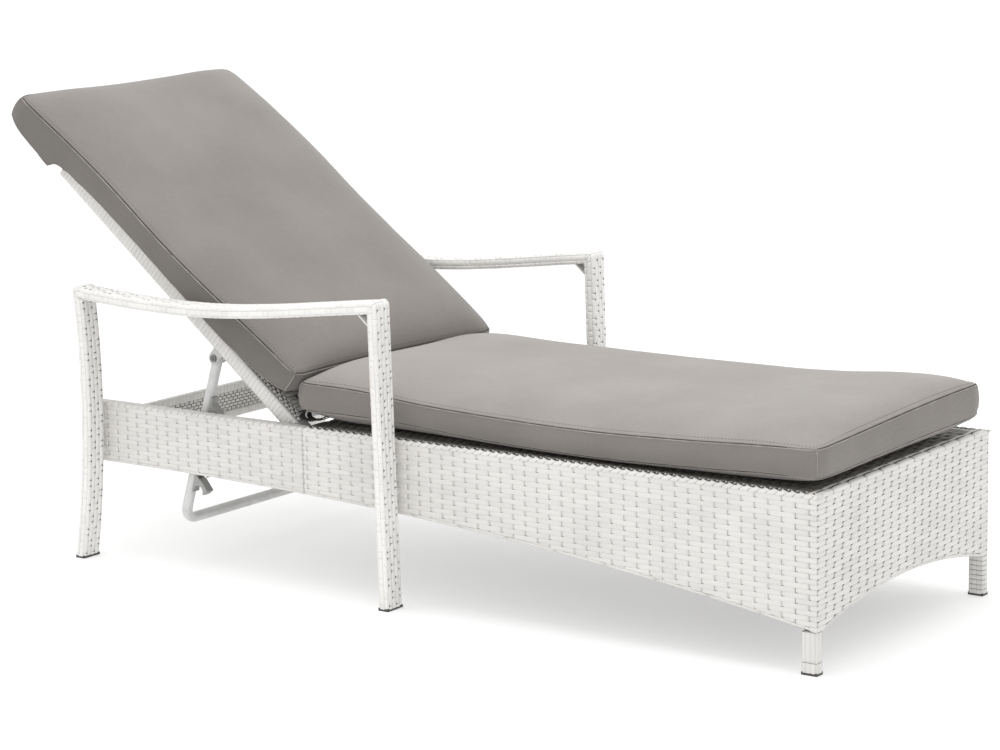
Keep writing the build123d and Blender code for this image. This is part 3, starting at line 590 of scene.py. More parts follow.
def foot_panel():
    middle = (FOOT + FOOT_IN) / 2
    parts = []
    stations = np.linspace(-RAIL_OUT + 0.0015, RAIL_OUT - 0.0015, 48)

    def over_rim(s, t, h):
        across, up, na, nu = along_edge(foot_rim, t)
        return points(middle + across + na * h, s, RIM + up + nu * h)

    def under_edge(s, t, h):
        across, up, na, nu = along_edge(foot_border, t)
        return points(middle + across + na * h, s, arch(s) - up - nu * h)

    def border(s):
        return arch(s) + BORDER

    for out, x, half in ((1, FOOT, RAIL_OUT), (-1, FOOT_IN, RAIL_IN)):
        def face(s, t, h):
            return points(x + out * h, s, t)

        first = tuple(-half + f for f in FOOT_FIRST)
        spans = bricks(-half, half - FOOT_FIRST[0], LOWEST, LOWEST + ROWS * ROW, FOOT_PITCH, ROW, 0.0026, first,
                       FOOT_PITCH)
        spans = clear_of(spans, border)
        parts.append(strands(face, spans, floor=border, lift=-0.0003, bulge=0.0006, side_tuck=0.0003,
                             nicks=((0, 1, 0.0017), (1, 0, 0.0023))))
        parts.append(core(x - out * CORE_DEPTH, stations, arch(stations), out < 0))
    for side, _ in SIDES:
        for odd, ring in ((0, (-0.003, -0.0015, 0, 0.0015, 0.003, 0.006, 0.02, 0.035, 0.041)),
                          (1, (-0.031, -0.026, -0.015, -0.004, -0.002, 0, 0.002, 0.004, 0.01, 0.015))):
            spans = [(ring[0] + 0.0012, ring[-1] - 0.0006, LOWEST + r * ROW + GAP / 2,
                      LOWEST + (r + 1) * ROW - GAP / 2) for r in range(odd, ROWS, 2)]
            at = (np.array(ring) - ring[0]) / (ring[-1] - ring[0])

            def corner_floor(s):
                return np.where(s > 0, lower_edge(np.maximum(s, 0)), arch(RAIL_OUT + s)) + 0.0008

            spans = clear_of(np.array(spans), corner_floor)
            parts.append(strands(corner_place(side), spans, floor=corner_floor, lift=-0.0002, bulge=0.0005, at=at,
                                 side_tuck=0.0004, nicks=((0, 0, 0.001), (1, 0, 0.001))))
    length = foot_rim[0][-1]
    over = RIM_DROP + 0.0085
    half = RAIL_OUT - 0.0008
    pitch = 2 * half / FOOT_WRAPS
    for t0, t1, lean in ((0.0, over, 0.5), (length - over, length, -0.5)):
        spans = [(-half + i * pitch + 0.0005, -half + (i + 1) * pitch - 0.0005, t0, t1)
                 for i in range(FOOT_WRAPS)]
        parts.append(wrap(over_rim, spans, lean, 0.0008, 9, (-half, half), 0.0014))
    # strands over the top of the foot rim in the dark deck wicker, painted shade under the cushion's overhang
    spans = bricks(-half, half, over, length - over, 0.009, 0.0045, 0.0036)
    spans[:, 2:] += (0.0006, -0.0006)
    parts.append(strands(over_rim, spans, 2, lift=-0.0004, bulge=0.0007, crown=0.0004, side_tuck=0.0012,
                         lean=0.6))
    parts += border_strands(under_edge, -half, half, FOOT_PITCH * 2, foot_border[0][-1])
    parts.append(sheet(over_rim, stations, np.linspace(0, length, 16), 0.0019))
    parts.append(sheet(under_edge, stations, np.linspace(0, foot_border[0][-1], 12)))
    woven("foot_panel_weave", parts, wicker_y, "base", "foot_apron", extra=[wicker_deck_painted_shade])


foot_panel()


# ---- bars wrapped lengthwise: corner posts and armrests ----


def section(width, depth, radius):
    """Rounded rectangle as lengths round it, and places and outward directions; width is along Y."""
    rows = []
    for cx, cy, start in ((1, 1, 0), (-1, 1, 90), (-1, -1, 180), (1, -1, 270)):
        for angle in np.radians(np.linspace(start, start + 90, 4)):
            nx, ny = cos(angle), sin(angle)
            x, y = cx * (depth / 2 - radius) + radius * nx, cy * (width / 2 - radius) + radius * ny
            rows.append((x, y, nx, ny))
    values = np.array([*rows, rows[0]]).T
    return run_length(values[:2]), values


def round_edge(ring, t):
    return along_edge(ring, np.mod(t, ring[0][-1]))


def bar(outer, inner, y, width, radius, side=1):
    """Surface of a bar between an outer and an inner line in X, Z. Returns its surface, length and girth."""
    outer, inner = np.array(outer), np.array(inner)
    middle = (outer + inner) / 2
    run = np.concatenate([[0], np.cumsum(np.maximum(1e-5, np.hypot(*np.diff((outer + middle) / 2, axis=0).T)))])
    depth = float(np.median(np.hypot(*(outer - inner).T)))
    ring = section(width, depth, radius)

    def place(s, t, h):
        a, b, na, nb = round_edge(ring, t)
        ox, oz, ix, iz = (np.interp(s, run, v) for v in (*outer.T, *inner.T))
        part = 0.5 - (a + na * h) / depth
        return points(ox + (ix - ox) * part, y + side * (b + nb * h), oz + (iz - oz) * part)

    return place, run[-1], ring[0][-1]


ARM_COLUMNS = 12  # of strands round an armrest
PLAIN_COLUMNS = (0, 1, 6, 7)  # without holes
ARM_PERIOD = 0.05  # between crossing strands of one column
ARM_CROSS = 0.0115  # length of a crossing strand
ARM_SHIFT = 0.02


def woven_bar(place, length, girth, start, size):
    """Strands along a bar, each held down by short crossing strands, staggered from column to column.
    A hole of the given size shows beside each end of a crossing strand, except in the plain columns."""
    width = girth / ARM_COLUMNS
    longs, shorts = [], []
    for column in range(ARM_COLUMNS):
        hole = 0.0 if column in PLAIN_COLUMNS else size
        t0, t1 = column * width + GAP, (column + 1) * width - GAP
        s = start + ARM_SHIFT + (column % 2) * ARM_PERIOD / 2 - ARM_PERIOD
        while s < length:
            for low, high, found in ((s + ARM_CROSS, s + ARM_PERIOD, longs), (s, s + ARM_CROSS, shorts)):
                a, b = max(start, low), min(length, high)
                if b - a > 0.003:
                    found.append((a, b, t0, t1, hole * (a == low), hole * (b == high)))
            s += ARM_PERIOD
    parts = []
    for found, lift, at in ((longs, 0.0, np.linspace(0, 1, 9)), (shorts, 0.0001, (0, 0.3, 0.7, 1))):
        found = np.array(found)
        corners = np.zeros((len(found), 2, 2))
        corners[:, :, 1] = found[:, 4:]
        parts.append(strands(place, found[:, :4], lift=lift, bulge=0.0002, crown=0.00025, at=at, corners=corners,
                             tuck=0.0006, edge=0.0004, side_tuck=0.00025))
    parts.append(sheet(place, np.linspace(start, length, 120), np.linspace(0, girth, 33)))
    return parts


POST_STRANDS = 10  # round a corner post


def post(side, word):
    """Strands round a corner post: crosswise on the left one, lengthwise on the right one."""
    heights = np.linspace(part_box(word + "_foot_cap")[0].z + 0.003, FOOT_EDGE + 0.001, 12)
    low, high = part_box(word + "_foot_leg")
    outer, inner = ([(x, z) for z in heights] for x in (high.x, low.x))
    place, length, girth = bar(outer, inner, (low.y + high.y) / 2, high.y - low.y, 0.003)
    width = girth / POST_STRANDS
    spans = []
    cuts = np.linspace(0, length, 9) if side > 0 else (0.0, 0.0183, length)
    for a, b in zip(cuts, cuts[1:]):
        spans += [(a + 0.0003, b - 0.0003, i * width + 0.0001, (i + 1) * width - 0.0001)
                  for i in range(POST_STRANDS)]
    parts = [strands(place, spans, bulge=0.0001, crown=0.0001, edge=0.0004, tuck=0.0008, loose=0.00003,
                     side_tuck=0.0 if side > 0 else 0.00015)]
    parts.append(sheet(place, np.linspace(0, length, 8), np.linspace(0, girth, 33), depth=0.001))
    woven(word + "_post_strands", parts, wicker_z, "base", word + "_foot_leg")


ARM_WIDTH = 0.044
ARM_FRONT_TOP = 0.866  # foot-side face of the front leg, from the foot, at its top
ARM_FRONT_LEAN = 0.010  # how much nearer the foot it is at the ground
ARM_DEPTH = 0.022
ARM_LOW_AT = 1.331  # lowest point of the rail, from the foot
ARM_LOW_Z = 0.503  # its underside there
ARM_END = 1.611
ARM_REAR_AT = 1.579  # foot-side face of the bowed rear leg where it bows most
ARM_REAR_R = 1.9
ARM_REAR_Z = 0.345
ARM_CORNER = 0.010
ARM_GROUND = 0.003  # the strands end this high, on the caps


def underside(distance):
    """Underside of an arm rail."""
    rear = (distance - ARM_LOW_AT) / (ARM_END - ARM_LOW_AT)
    front = (ARM_LOW_AT - distance) / (ARM_LOW_AT - ARM_FRONT_TOP)
    return ARM_LOW_Z + (0.014 * rear**2 if rear > 0 else 0.041 * front**2 * (1.9 - 0.9 * front))


def front_face(z):
    top = underside(ARM_FRONT_TOP)
    return ARM_FRONT_TOP - ARM_FRONT_LEAN * (top - z) / top


def rear_face(z):
    return ARM_REAR_AT + ARM_REAR_R - (ARM_REAR_R**2 - (z - ARM_REAR_Z) ** 2) ** 0.5


def rounded_corner(face, distance, turn):
    """Rounded outer corner of an armrest in X, Z, upright face first, each place paired with the inner corner."""
    top = underside(face) + ARM_DEPTH
    inner = (FOOT - distance, underside(distance))
    return [((FOOT - face + turn * ARM_CORNER * (1 - cos(a)), top - ARM_CORNER * (1 - sin(a))), inner)
            for a in np.linspace(0, pi / 2, 7)]


def armrest(side, word):
    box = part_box(word + "_arm_rail")
    rail_start, rail_end = ARM_FRONT_TOP + ARM_DEPTH, ARM_END - ARM_DEPTH
    stretches = [  # pairs of outer and inner places
        [((FOOT - front_face(z), z), (FOOT - front_face(z) - ARM_DEPTH, z))
         for z in np.linspace(ARM_GROUND, underside(ARM_FRONT_TOP) - 0.002, 14)],
        rounded_corner(ARM_FRONT_TOP, rail_start, -1),
        [((FOOT - d, underside(d) + ARM_DEPTH), (FOOT - d, underside(d)))
         for d in np.linspace(rail_start + 0.002, rail_end - 0.002, 30)],
        rounded_corner(ARM_END, rail_end, 1)[::-1],
        [((FOOT - rear_face(z) - ARM_DEPTH, z), (FOOT - rear_face(z), z))
         for z in np.linspace(underside(ARM_END) - 0.003, ARM_GROUND, 16)],
    ]
    outer, inner = np.array([pair for stretch in stretches for pair in stretch]).transpose(1, 0, 2)
    first, third = (sum(map(len, stretches[:count])) for count in (1, 3))
    place, length, girth = bar(outer, inner, (box[0].y + box[1].y) / 2, ARM_WIDTH, 0.0045, side)
    run = run_length(((outer * 3 + inner) / 4).T)
    cuts = ((0.0, run[first] + 0.006, "front_leg"), (run[first] + 0.0062, run[third] + 0.010, "rail"),
            (run[third] + 0.0102, length, "rear_leg"))
    for low, high, what in cuts:
        # the armrests take the lighter wicker, painted light
        hole, material = (0.0026, arm_rail_wicker_painted_light) if what == "rail" else (0.0010, arm_leg_wicker_painted_light)
        node = word + "_arm_" + what
        woven(node + "_weave", woven_bar(place, high, girth, low, hole), material, "base", node)


for side, word in SIDES:
    post(side, word)
    armrest(side, word)


# ---- decks ----


def deck(name, place, s_low, s_high, t_low, t_high, material, body, node, thickness, weave=(0.03, 0.0095, 0.004)):
    """Woven panel with both faces. weave: stake spacing, row height and slit."""
    parts = []
    for out in (1, -1):
        def face(s, t, h):
            return place(s, t, h * out - (0 if out > 0 else thickness))

        spans = bricks(s_low, s_high, t_low, t_high, *weave)
        spans[:, 2:] += (0.0004, -0.0004)
        parts.append(strands(face, spans, lift=-0.0007, bulge=0.001, at=(0, 0.3, 0.7, 1), tuck=0.002,
                             side_tuck=0.0008))
        parts.append(sheet(face, np.linspace(s_low, s_high, 8), np.linspace(t_low, t_high, 8), depth=0.0021))
    woven(name, parts, material, body, node)


low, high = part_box("seat_deck")
# the seat deck in the dark deck wicker, painted shade under the cushion
deck("seat_deck_weave", lambda s, t, h: points(t, s, DECK + h), low.y, high.y, low.x, high.x, wicker_deck_painted_shade,
     "base", "seat_deck", high.z - low.z)


def back_place(u, v, n):
    """Point at a distance up the back, across it and above its middle plane."""
    return points(HINGE.x - u * cos(RECLINE) + n * sin(RECLINE), v, HINGE.z + u * sin(RECLINE) + n * cos(RECLINE))


BACK_TOP = 0.015  # top of the back's frame above its middle plane
BACK_END = 0.737  # from the hinge
BACK_PITCH = 0.0092  # between the wraps of the back's side tubes
WRAP_LIFT = 0.0018  # they lie round the tubes, which stay
BACK_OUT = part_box("left_back_side_tube")[1].y
BACK_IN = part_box("left_back_side_tube")[0].y
deck("back_deck_weave", lambda s, t, h: back_place(t, s, BACK_TOP + h), -BACK_IN, BACK_IN, 0.034, BACK_END,
     wicker_y, "backrest", "back_deck", 0.006)


# ---- tubes wrapped crosswise: back frame and head panel ----


def wrapped_tube(place, girth, start, end, pitch, front=None):
    """Narrow strands round and round a bar. front: the part of the girth with an open weave of short strands."""
    count = round((end - start) / pitch)
    step = (end - start) / count
    spans, short = [], []
    for i in range(count):
        t0, t1 = start + i * step + 0.0001, start + (i + 1) * step - 0.0001
        if front is None:
            parted = girth * (0.21 if i % 2 else 0.29)
            spans.append((parted - girth / 2 + 0.0004, parted, t0, t1))
            spans.append((parted + 0.0004, parted + girth / 2, t0, t1))
            continue
        low, high = front
        spans.append((high - girth, low, t0, t1))
        cuts = (0.26, 0.74) if i % 2 else (0.5,)
        edges = [low, *[low + (high - low) * c for c in cuts], high]
        for a, b in zip(edges, edges[1:]):
            short.append((a + 0.0012, b - 0.0012, t0 + 0.0003, t1 - 0.0003))

    def turned(s, t, h):
        return place(t, s, h)

    parts = [strands(turned, spans, at=np.linspace(0, 1, 17), bulge=0.0, crown=0.0003, edge=0.0005, tuck=0.001,
                     side_tuck=0.0003)]
    if short:
        parts.append(strands(turned, short, bulge=0.0007, crown=0.0004, lift=0.0001, side_tuck=0.0006,
                             corners=oval(short, 0.0012)))
    parts.append(sheet(turned, np.linspace(0, girth, 33), np.linspace(start, end, 30), depth=0.0016))
    return parts


def back_side(side, word):
    middle = (BACK_OUT + BACK_IN) / 2
    ring = section(BACK_OUT - BACK_IN, 2 * BACK_TOP, 0.004)
    girth = ring[0]

    def place(s, t, h):
        a, b, na, nb = round_edge(ring, t)
        h = h + WRAP_LIFT
        return back_place(s, side * (middle + b + nb * h), a + na * h)

    # the girth starts at the corner towards the cushion and outwards; the front face closes it
    front = (girth[-1] - (BACK_OUT - BACK_IN) + 0.004, girth[-1])
    parts = wrapped_tube(place, girth[-1], 0.012, BACK_END, BACK_PITCH, front)
    rim = place(np.full(16, BACK_END + 0.0006), girth[:16], np.full(16, -0.0008))
    parts.append((rim, np.array([[i, i + 1, 14 - i, 15 - i] for i in range(7)]), 0))
    woven(word + "_back_side_wrap", parts, wicker_back, "backrest")


for side, word in SIDES:
    back_side(side, word)


def head_tube(node):
    low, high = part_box(node)
    middle = (low + high) / 2
    ring = section(high.z - low.z, high.x - low.x, 0.004)

    def place(s, t, h):
        a, b, na, nb = round_edge(ring, t)
        return points(middle.x + a + na * h, s, middle.z + b + nb * h)

    parts = wrapped_tube(place, ring[0][-1], low.y, high.y, 0.0105)
    woven(node + "_wrap", parts, wicker_z, "base", node)


head_tube("head_upper_tube")
head_tube("head_lower_tube")
low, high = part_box("head_woven_band")
deck("head_band_weave", lambda s, t, h: points(low.x - h, s, t), low.y, high.y, low.z, high.z, wicker_y,
     "base", "head_woven_band", high.x - low.x, (0.0068, 0.0062, 0.0026))


# ---- cushions ----
EDGE_STEPS = np.array((0, 0.0018, 0.0045, 0.009, 0.015, 0.023, 0.033))  # grid lines beside a seam


def axis_values(length, step):
    """Values from -1 to 1, close together near both ends."""
    last = EDGE_STEPS[-1]
    inner = np.linspace(last, length - last, max(2, round((length - 2 * last) / step)))
    return np.concatenate([EDGE_STEPS[:-1], inner, length - EDGE_STEPS[-2::-1]]) / length * 2 - 1


def smooth_step(value):
    value = np.clip(value, 0, 1)
    return value * value * (3 - 2 * value)


PULL = 0.005  # how far the middle of each side is drawn in
CORNER = 0.005  # rounding of the corners
BAND_ROWS = 11


def cushion_mesh(length, half, seam_top, seam_low, crown, bed):
    """Boxed cushion: two crowned panels and a band between two seams, as points (u, v, n) and quads.
    Also gives the vertex rings of the upper seam and of the stitch row beside it, the size of the panels'
    grids and the band's corners."""
    a, b = axis_values(length, 0.012), axis_values(2 * half, 0.012)
    ga, gb = np.meshgrid(a, b, indexing="ij")
    across, along = (1 - np.abs(ga)) * length / 2, (1 - np.abs(gb)) * half
    round_a, round_b = (CORNER * smooth_step(1 - far / 0.03) ** 2 for far in (along, across))
    u = ga * (length / 2 - PULL * (1 - gb**2) - round_a) + length / 2
    v = gb * (half - PULL * (1 - ga**2) - round_b)
    groove = 0.0022 * (np.minimum(across, along) < 1e-6)
    rise = (1 - np.exp(-across / 0.02)) * (1 - np.exp(-along / 0.036))
    top = seam_top(u, v) + crown * rise - groove - puckers(across, along, u, v)
    drop = (1 - np.exp(-across / 0.03)) * (1 - np.exp(-along / 0.03))
    low = seam_low(u, v) + (bed(u, v) - seam_low(u, v)) * drop + groove
    rows, columns = ga.shape
    index = np.arange(rows * columns).reshape(rows, columns)

    def ring(k):
        inner = index[k:rows - k, k:columns - k]
        return np.concatenate([inner[0, :-1], inner[:-1, -1], inner[-1, :0:-1], inner[:0:-1, 0]])

    loop = ring(0)
    flat = [np.stack([u, v, n], -1).reshape(-1, 3) for n in (top, low)]
    quads = [grid_quads(1, rows, columns, False), grid_quads(1, rows, columns, True) + rows * columns]
    upper, lower = flat[0][loop], flat[1][loop]
    tangent = np.roll(upper, -1, 0) - np.roll(upper, 1, 0)
    normal = np.stack([tangent[:, 1], -tangent[:, 0]], -1)
    normal /= np.linalg.norm(normal, axis=1)[:, None]
    normal[((upper[:, :2] - (length / 2, 0)) * normal).sum(1) < 0] *= -1
    near = np.array((0.0018, 0.004, 0.0075, 0.013)) / 0.05
    parts = [*near, 0.38, 0.5, 0.62, *(1 - near[::-1])]
    waves = 0.0004 * np.sin(np.arange(len(loop)) * 0.37) * np.sin(np.arange(len(loop)) * 0.113 + 1)
    found = []
    for part in parts:
        lip = 0.0010 if part in (near[0], 1 - near[0]) else 0
        line = upper + (lower - upper) * part
        line[:, :2] += normal * (0.0020 + 0.0035 * sin(pi * part) + lip + waves * sin(pi * part))[:, None]
        found.append(line)
    base, count = 2 * rows * columns, len(loop)
    band = [loop] + [base + i * count + np.arange(count) for i in range(len(parts))] + [loop + rows * columns]
    for first, second in zip(band, band[1:]):
        quads.append(np.stack([first, second, np.roll(second, -1), np.roll(first, -1)], -1))
    corners = np.cumsum([0, columns - 1, rows - 1, columns - 1])
    creases = [np.array([line[c] for line in band]) for c in corners]
    return np.concatenate(flat + found), np.concatenate(quads), (loop, ring(2)), (rows, columns), creases


def puckers(across, along, u, v):
    """Shallow creases that run in from the seams."""
    total = np.zeros_like(u)
    edge_u, edge_v = along < across, along >= across
    for _ in range(30):
        place_u, place_v = rng.uniform(u.min(), u.max()), rng.uniform(v.min(), v.max())
        side = rng.choice((-1, 1))
        wide, reach, deep = rng.uniform(0.006, 0.012), rng.uniform(0.012, 0.03), rng.uniform(0.0002, 0.0005)
        total += deep * edge_u * (v * side > 0) * np.exp(-((u - place_u) / wide) ** 2 - along / reach)
        near = (u - u.mean()) * side > 0
        total += deep * edge_v * near * np.exp(-((v - place_v) / wide) ** 2 - across / reach)
    return total * (1 - np.exp(-np.minimum(across, along) / 0.006))


def evened(shift, shape, rounds):
    """Takes the small wrinkles out of the shifts over a grid of vertices."""
    grid = shift.reshape(*shape, 3).copy()
    for _ in range(rounds):
        grid[1:-1] = (grid[:-2] + 2 * grid[1:-1] + grid[2:]) / 4
        grid[:, 1:-1] = (grid[:, :-2] + 2 * grid[:, 1:-1] + grid[:, 2:]) / 4
    return grid.reshape(-1, 3)


def near_tree(places):
    tree = KDTree(len(places))
    for i, p in enumerate(places):
        tree.insert(p, i)
    tree.balance()
    return tree


VOXEL = 0.006  # size of the cloth's faces
FRAMES = 20
HELD = 0.012  # cloth nearer a seam than this is held, fully or in part
MOST = 0.008  # farthest that the cloth may move a vertex
PANEL_ROUNDS, BAND_ROUNDS = 14, 10  # of evening out the cloth's shifts
FIRM_SHARE = 0.3  # how much of the shift the underside and the band take
CLOTH = {"quality": 4, "mass": 0.3, "tension_stiffness": 12, "compression_stiffness": 12, "shear_stiffness": 6,
         "bending_stiffness": 3.0, "use_pressure": True, "uniform_pressure_force": 4.0, "shrink_min": -0.035,
         "vertex_group_mass": "held"}


def simulate(name, verts, quads, pinned):
    """How far cloth under pressure moves each vertex, with the seams held."""
    source = mesh_object(name, [(verts, quads, 0)], [])
    remesh = source.modifiers.new("voxels", "REMESH")
    remesh.mode = "VOXEL"
    remesh.voxel_size = VOXEL
    evaluated = source.evaluated_get(bpy.context.evaluated_depsgraph_get())
    mesh = bpy.data.meshes.new_from_object(evaluated)
    pad = show(bpy.data.objects.new(name + "_cloth", mesh))
    bpy.data.objects.remove(source)
    rest = np.array([v.co for v in mesh.vertices])
    tree = near_tree(pinned)
    group = pad.vertex_groups.new(name="held")
    for i, p in enumerate(rest):
        far = tree.find(p)[2]
        if far < HELD:
            group.add([i], float(np.clip(1.6 - far / 0.0075, 0, 1)), "REPLACE")
    settings = pad.modifiers.new("cloth", "CLOTH").settings
    for key, value in CLOTH.items():
        setattr(settings, key, value)
    settings.effector_weights.gravity = 0
    scene = bpy.context.scene
    for number in range(1, FRAMES + 1):
        scene.frame_set(number)
    settled = pad.evaluated_get(bpy.context.evaluated_depsgraph_get()).to_mesh()
    moved = np.array([v.co for v in settled.vertices]) - rest
    scene.frame_set(1)
    length = np.linalg.norm(moved, axis=1)[:, None]
    moved *= np.minimum(1, MOST / np.maximum(length, 1e-9))
    tree = near_tree(rest)
    shift = np.zeros_like(verts)
    for i, p in enumerate(verts):
        total = 0.0
        for _, j, far in tree.find_n(p, 5):
            weight = 1 / (far + 0.001)
            shift[i] += moved[j] * weight
            total += weight
        shift[i] /= total
    bpy.data.objects.remove(pad)
    return shift


def seam_line(line, aside, out, dash, gap, width, crown, offset=0.0, number=0):
    """Row of short raised threads along a line of points, in directions given at each point."""
    length = np.concatenate([[0], np.cumsum(np.linalg.norm(np.diff(line, axis=0), axis=1))])

    def place(s, t, h):
        at, beside, above = (np.stack([np.interp(s, length, column) for column in array.T], -1)
                             for array in (line, aside, out))
        return at + beside * t[:, None] + above * (h + offset)[:, None]

    dash = min(dash, length[-1])
    starts = np.arange(0, length[-1] - dash + 1e-6, dash + gap)
    spans = [(a, a + dash, -width / 2, width / 2) for a in starts]
    return strands(place, spans, number, crown=crown, bulge=crown * 0.6, edge=min(0.0006, dash / 5),
                   side_edge=width * 0.25, at=np.linspace(0, 1, 9 if dash > 0.01 else 4),
                   tuck=0.0008, side_tuck=0.0008, loose=0.00005)


def unit(vectors):
    return vectors / np.maximum(np.linalg.norm(vectors, axis=1), 1e-9)[:, None]


def cushion(name, length, seam_top, seam_low, crown, bed, place, materials, body, node):
    """Cushion with its panels swollen by cloth pressure, placed on its body, with sewn seams."""
    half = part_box(node)[1].y
    verts, quads, rings, shape, creases = cushion_mesh(length, half, seam_top, seam_low, crown, bed)
    second = shape[0] * shape[1]
    pinned = np.concatenate([verts[rings[0]], verts[rings[0] + second]])
    shift = simulate(name + "_form", verts, quads, pinned)
    top, low = (evened(part, shape, PANEL_ROUNDS) for part in (shift[:second], shift[second:2 * second]))
    band = evened(shift[2 * second:], (BAND_ROWS, len(rings[0])), BAND_ROUNDS)
    verts = verts + np.concatenate([top, low * FIRM_SHARE, band * FIRM_SHARE])
    verts[:, 2] = np.maximum(verts[:, 2], bed(verts[:, 0], verts[:, 1]))
    world = place(*verts.T)
    banded = (quads >= 2 * second).any(1)
    obj = mesh_object(name, [(world, quads[~banded], 0), (world[:0], quads[banded], 1)], materials)
    smooth = obj.modifiers.new("smooth", "SUBSURF")
    smooth.levels = smooth.render_levels = 1
    piece(obj, body, "cushion_fabric", node)

    middle = world.mean(0)
    floor, above = (place(np.array([0.3]), np.array([0.0]), np.array([n])) for n in (0.0, 1.0))
    up = unit(above - floor)
    parts = []

    def seam(line, aside, out, *sizes):
        aside, out = (np.broadcast_to(unit(way), line.shape) for way in (aside, out))
        parts.append(seam_line(line, aside, out, *sizes))

    for shift, sense in ((0, 1), (second, -1)):
        rim, inner = (np.append(ring, ring[0]) + shift for ring in rings)
        line = world[rim]
        along = unit(np.roll(line, -1, 0) - np.roll(line, 1, 0))
        outwards = unit(np.cross(along, up))
        outwards *= np.sign(((line - middle) * outwards).sum(1))[:, None]
        rise = up * sense
        seam(line, rise - outwards, rise + outwards, 0.058, 0.0006, 0.0019, 0.0006, 0.0002)
        # a lighter strand beside each seam, a painted highlight on its lip
        seam(line + (outwards * 0.0022 - rise * 0.0018), rise, outwards, 0.058, 0.0006, 0.0018, 0.0006, 0.0003, 2)
        line = world[inner]
        along = unit(np.roll(line, -1, 0) - np.roll(line, 1, 0))
        seam(line, np.cross(along, rise), rise, 0.0042, 0.0026, 0.0009, 0.0004, 0.0003, 1)
    for crease in creases:
        line = world[crease]
        outwards = unit(line - middle - ((line - middle) @ up[0])[:, None] * up)
        # the corner creases in the same lighter strand, a painted highlight
        seam(line, np.cross(up, outwards), outwards, 0.048, 0.0005, 0.0018, 0.0003, 0.0001, 2)
    piece(mesh_object(name + "_stitching", parts, [thread, stitch, lip]), body, "cushion_fabric")


def curve(*pairs):
    """Smooth curve through (place, value) pairs."""
    xs, ys = np.array(pairs, float).T
    slopes = np.gradient(ys, xs)

    def value(u):
        u = np.clip(u, xs[0], xs[-1])
        i = np.clip(np.searchsorted(xs, u) - 1, 0, len(xs) - 2)
        width = xs[i + 1] - xs[i]
        t = (u - xs[i]) / width
        a = ys[i] * (1 + 2 * t) * (1 - t) ** 2 + ys[i + 1] * t * t * (3 - 2 * t)
        return a + width * (slopes[i] * t * (1 - t) ** 2 - slopes[i + 1] * t * t * (1 - t))

    return value


SEAT_START = 0.010  # from the foot-end face
SEAT_LENGTH = 1.104
SEAT_HEAD = FOOT - SEAT_START - SEAT_LENGTH
# the seat cushion's head end follows the back
# given as the seat cushion's body; piece() does not attach it and only bakes its placement
SEAT_BEND = ("base", "backrest", (SEAT_HEAD + 0.11, 0, 0.36), (SEAT_HEAD, 0, 0.36))


def left_side(v):
    """How far a place lies towards the left-hand edge, where the cushions are fuller."""
    return smooth_step(v / 0.3 / 2 + 0.5)


def between(right, left):
    """Height of a seam from its heights along the right-hand and the left-hand edge."""
    return lambda u, v: right(u) + (left(u) - right(u)) * left_side(v)


seat_top = between(
    curve((0, 0.380), (0.1, 0.3765), (0.25, 0.369), (0.43, 0.363), (0.65, 0.3655), (0.876, 0.377),
          (0.931, 0.3825), (1.104, 0.388)),
    curve((0, 0.395), (0.3, 0.375), (0.6, 0.373), (1.104, 0.381)))
seat_low = between(
    curve((0, 0.325), (0.06, 0.3265), (0.2, 0.321), (0.43, 0.314), (0.65, 0.3175), (0.93, 0.3325),
          (1.098, 0.333)),
    curve((0, 0.333), (0.5, 0.327), (1.098, 0.330)))
cushion("seat_pad", SEAT_LENGTH, seat_top, seat_low, 0.027, lambda u, v: np.full_like(u, DECK + 0.0012),
        lambda u, v, n: points(FOOT - SEAT_START - u, v, n), (fabric_seat, band_seat_painted_shade), SEAT_BEND,
        "seat_cushion")


def tie_strap(side, word):
    """Flat fabric tie sewn under a head-end corner of the seat cushion, looped back on itself."""
    loop = curve((0, 0.338), (0.25, 0.326), (0.5, 0.316), (0.75, 0.3145), (1, 0.325))
    out = curve((0, 1.085), (0.25, 1.101), (0.5, 1.098), (0.75, 1.075), (1, 1.045))
    parts = []
    for y, sag in ((0.281, 0.0), (0.262, -0.002)):
        def place(s, t, h):
            return points(FOOT - SEAT_START - out(s), side * (y + t), loop(s) + sag + h)

        spans = [(0.0, 1.0, i * 0.0035 - 0.007, i * 0.0035 - 0.0035) for i in range(4)]
        for lift in (0.0008, -0.0008):
            parts.append(strands(place, spans, lift=lift, bulge=0.0, crown=0.0003, edge=0.004, tuck=0.0,
                                 side_tuck=0.0, at=np.linspace(0, 1, 24)))
    piece(mesh_object(word + "_seat_tie", parts, [thread]), "base", "cushion_fabric")


for side, word in SIDES:
    tie_strap(side, word)

BACK_START = 0.053  # from the hinge
BACK_LENGTH = 0.837
back_top = curve((0, 0.106), (0.067, 0.101), (0.2, 0.0885), (0.356, 0.077), (0.6, 0.074), (0.845, 0.059))
back_fuller = curve((0, -0.002), (0.2, 0.012), (0.45, 0.018), (0.845, 0.008))
back_low = curve((0, 0.057), (0.069, 0.042), (0.153, 0.0315), (0.319, 0.0265), (0.477, 0.0258), (0.62, 0.020),
                 (0.668, 0.013), (0.69, -0.005), (0.74, -0.0045), (0.79, -0.002), (0.845, 0.010))


def back_bed(u, v):
    """Where the back cushion's underside lies: on the woven back, and drooping past its end."""
    past = smooth_step((u + BACK_START - BACK_END) / 0.02)
    return 0.0165 - 0.022 * past


def back_pad_place(u, v, n):
    """The left-hand corner reaches a little nearer the hinge."""
    return back_place(u + BACK_START - 0.008 * left_side(v) * np.exp(-u / 0.1), v, n)


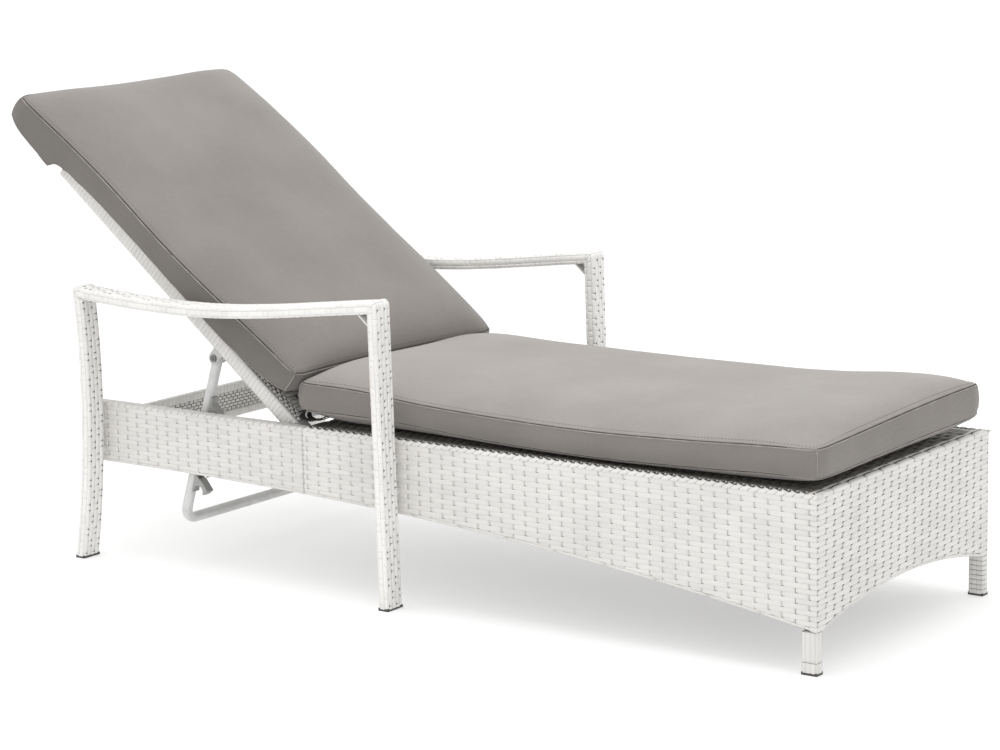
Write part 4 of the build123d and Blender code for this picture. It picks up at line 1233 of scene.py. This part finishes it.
cushion("back_pad", BACK_LENGTH, lambda u, v: back_top(u) + back_fuller(u) * left_side(v),
        lambda u, v: back_low(u), 0.028, back_bed, back_pad_place, (fabric_back_painted_shade, band_back_painted_shade), "backrest",
        "back_cushion")


# ---- CAD parts that stay, with their finish ----
# the brace takes the armrests' lighter wicker, painted light; the hinge plates take a near-black coat, painted
# shade
FINISHES = (
    ("cap", cap_plastic), ("hook", hook_steel), ("prop_bail", prop_paint), ("hinge_plate", plate_painted_shade),
    ("brace", arm_rail_wicker_painted_light), ("armrest", prop_paint), ("bolts", bolt_steel), ("nuts", bolt_steel),
    ("washers", bolt_steel), ("screws", bolt_steel), ("", frame_paint))
for name, obj in frame["nodes"].items():
    if not obj.hide_render:
        obj.data.materials.clear()
        obj.data.materials.append(next(finish for word, finish in FINISHES if word in name))


# ---- floor, light and camera ----


FLOOR_REACH = 30


def stage():
    look = Look("pale_floor", (0.65, 0.65, 0.65), 0.8, Emission_Strength=0.4)
    look.color(look.noise(look.coords(), 2.0), (0.645, 0.645, 0.645), (0.66, 0.66, 0.66))
    mesh = bpy.data.meshes.new("floor")
    corners = [(x * FLOOR_REACH, y * FLOOR_REACH, -0.0005) for x, y in ((-1, -1), (1, -1), (1, 1), (-1, 1))]
    mesh.from_pydata(corners, [], [(0, 1, 2, 3)])
    mesh.materials.append(look.material)
    show(bpy.data.objects.new("floor", mesh))
    world = bpy.data.worlds.new("studio")
    world.use_nodes = True
    background = world.node_tree.nodes["Background"].inputs
    background["Color"].default_value = (1, 1, 1, 1)
    background["Strength"].default_value = 1.09
    bpy.context.scene.world = world


def area_light(name, place, target, size, power):
    light = bpy.data.lights.new(name, "AREA")
    light.shape = "DISK"
    light.size = size
    light.energy = power
    obj = show(bpy.data.objects.new(name, light))
    obj.location = place
    obj.rotation_euler = (Vector(target) - Vector(place)).to_track_quat("-Z", "Y").to_euler()


FOCAL_PIXELS = 2919.38  # focal length in pixels of an image 1000 wide
CAMERA_AT = (3.22583, -4.36294, 1.38832)


def camera():
    """Where the photograph was taken from: right-hand foot side, a little above."""
    data = bpy.data.cameras.new("camera")
    data.sensor_width = 36.0
    data.lens = data.sensor_width * FOCAL_PIXELS / 1000
    data.clip_end = 100
    obj = show(bpy.data.objects.new("camera", data))
    right = (0.809944, 0.586167, -0.019957)
    up = (-0.092194, 0.160845, 0.982664)
    ahead = (-0.579215, 0.794064, -0.184317)
    axes = Matrix((right, up, [-c for c in ahead])).transposed().to_4x4()
    obj.matrix_world = Matrix.Translation(CAMERA_AT) @ axes
    bpy.context.scene.camera = obj


stage()
area_light("overhead", (-0.3, -0.2, 3.4), (0, 0, 0.3), 2.4, 40)
area_light("side_fill", (1.6, -3.6, 1.2), (0.3, 0, 0.3), 1.6, 5)
camera()
bpy.context.scene.view_settings.view_transform = "Standard"
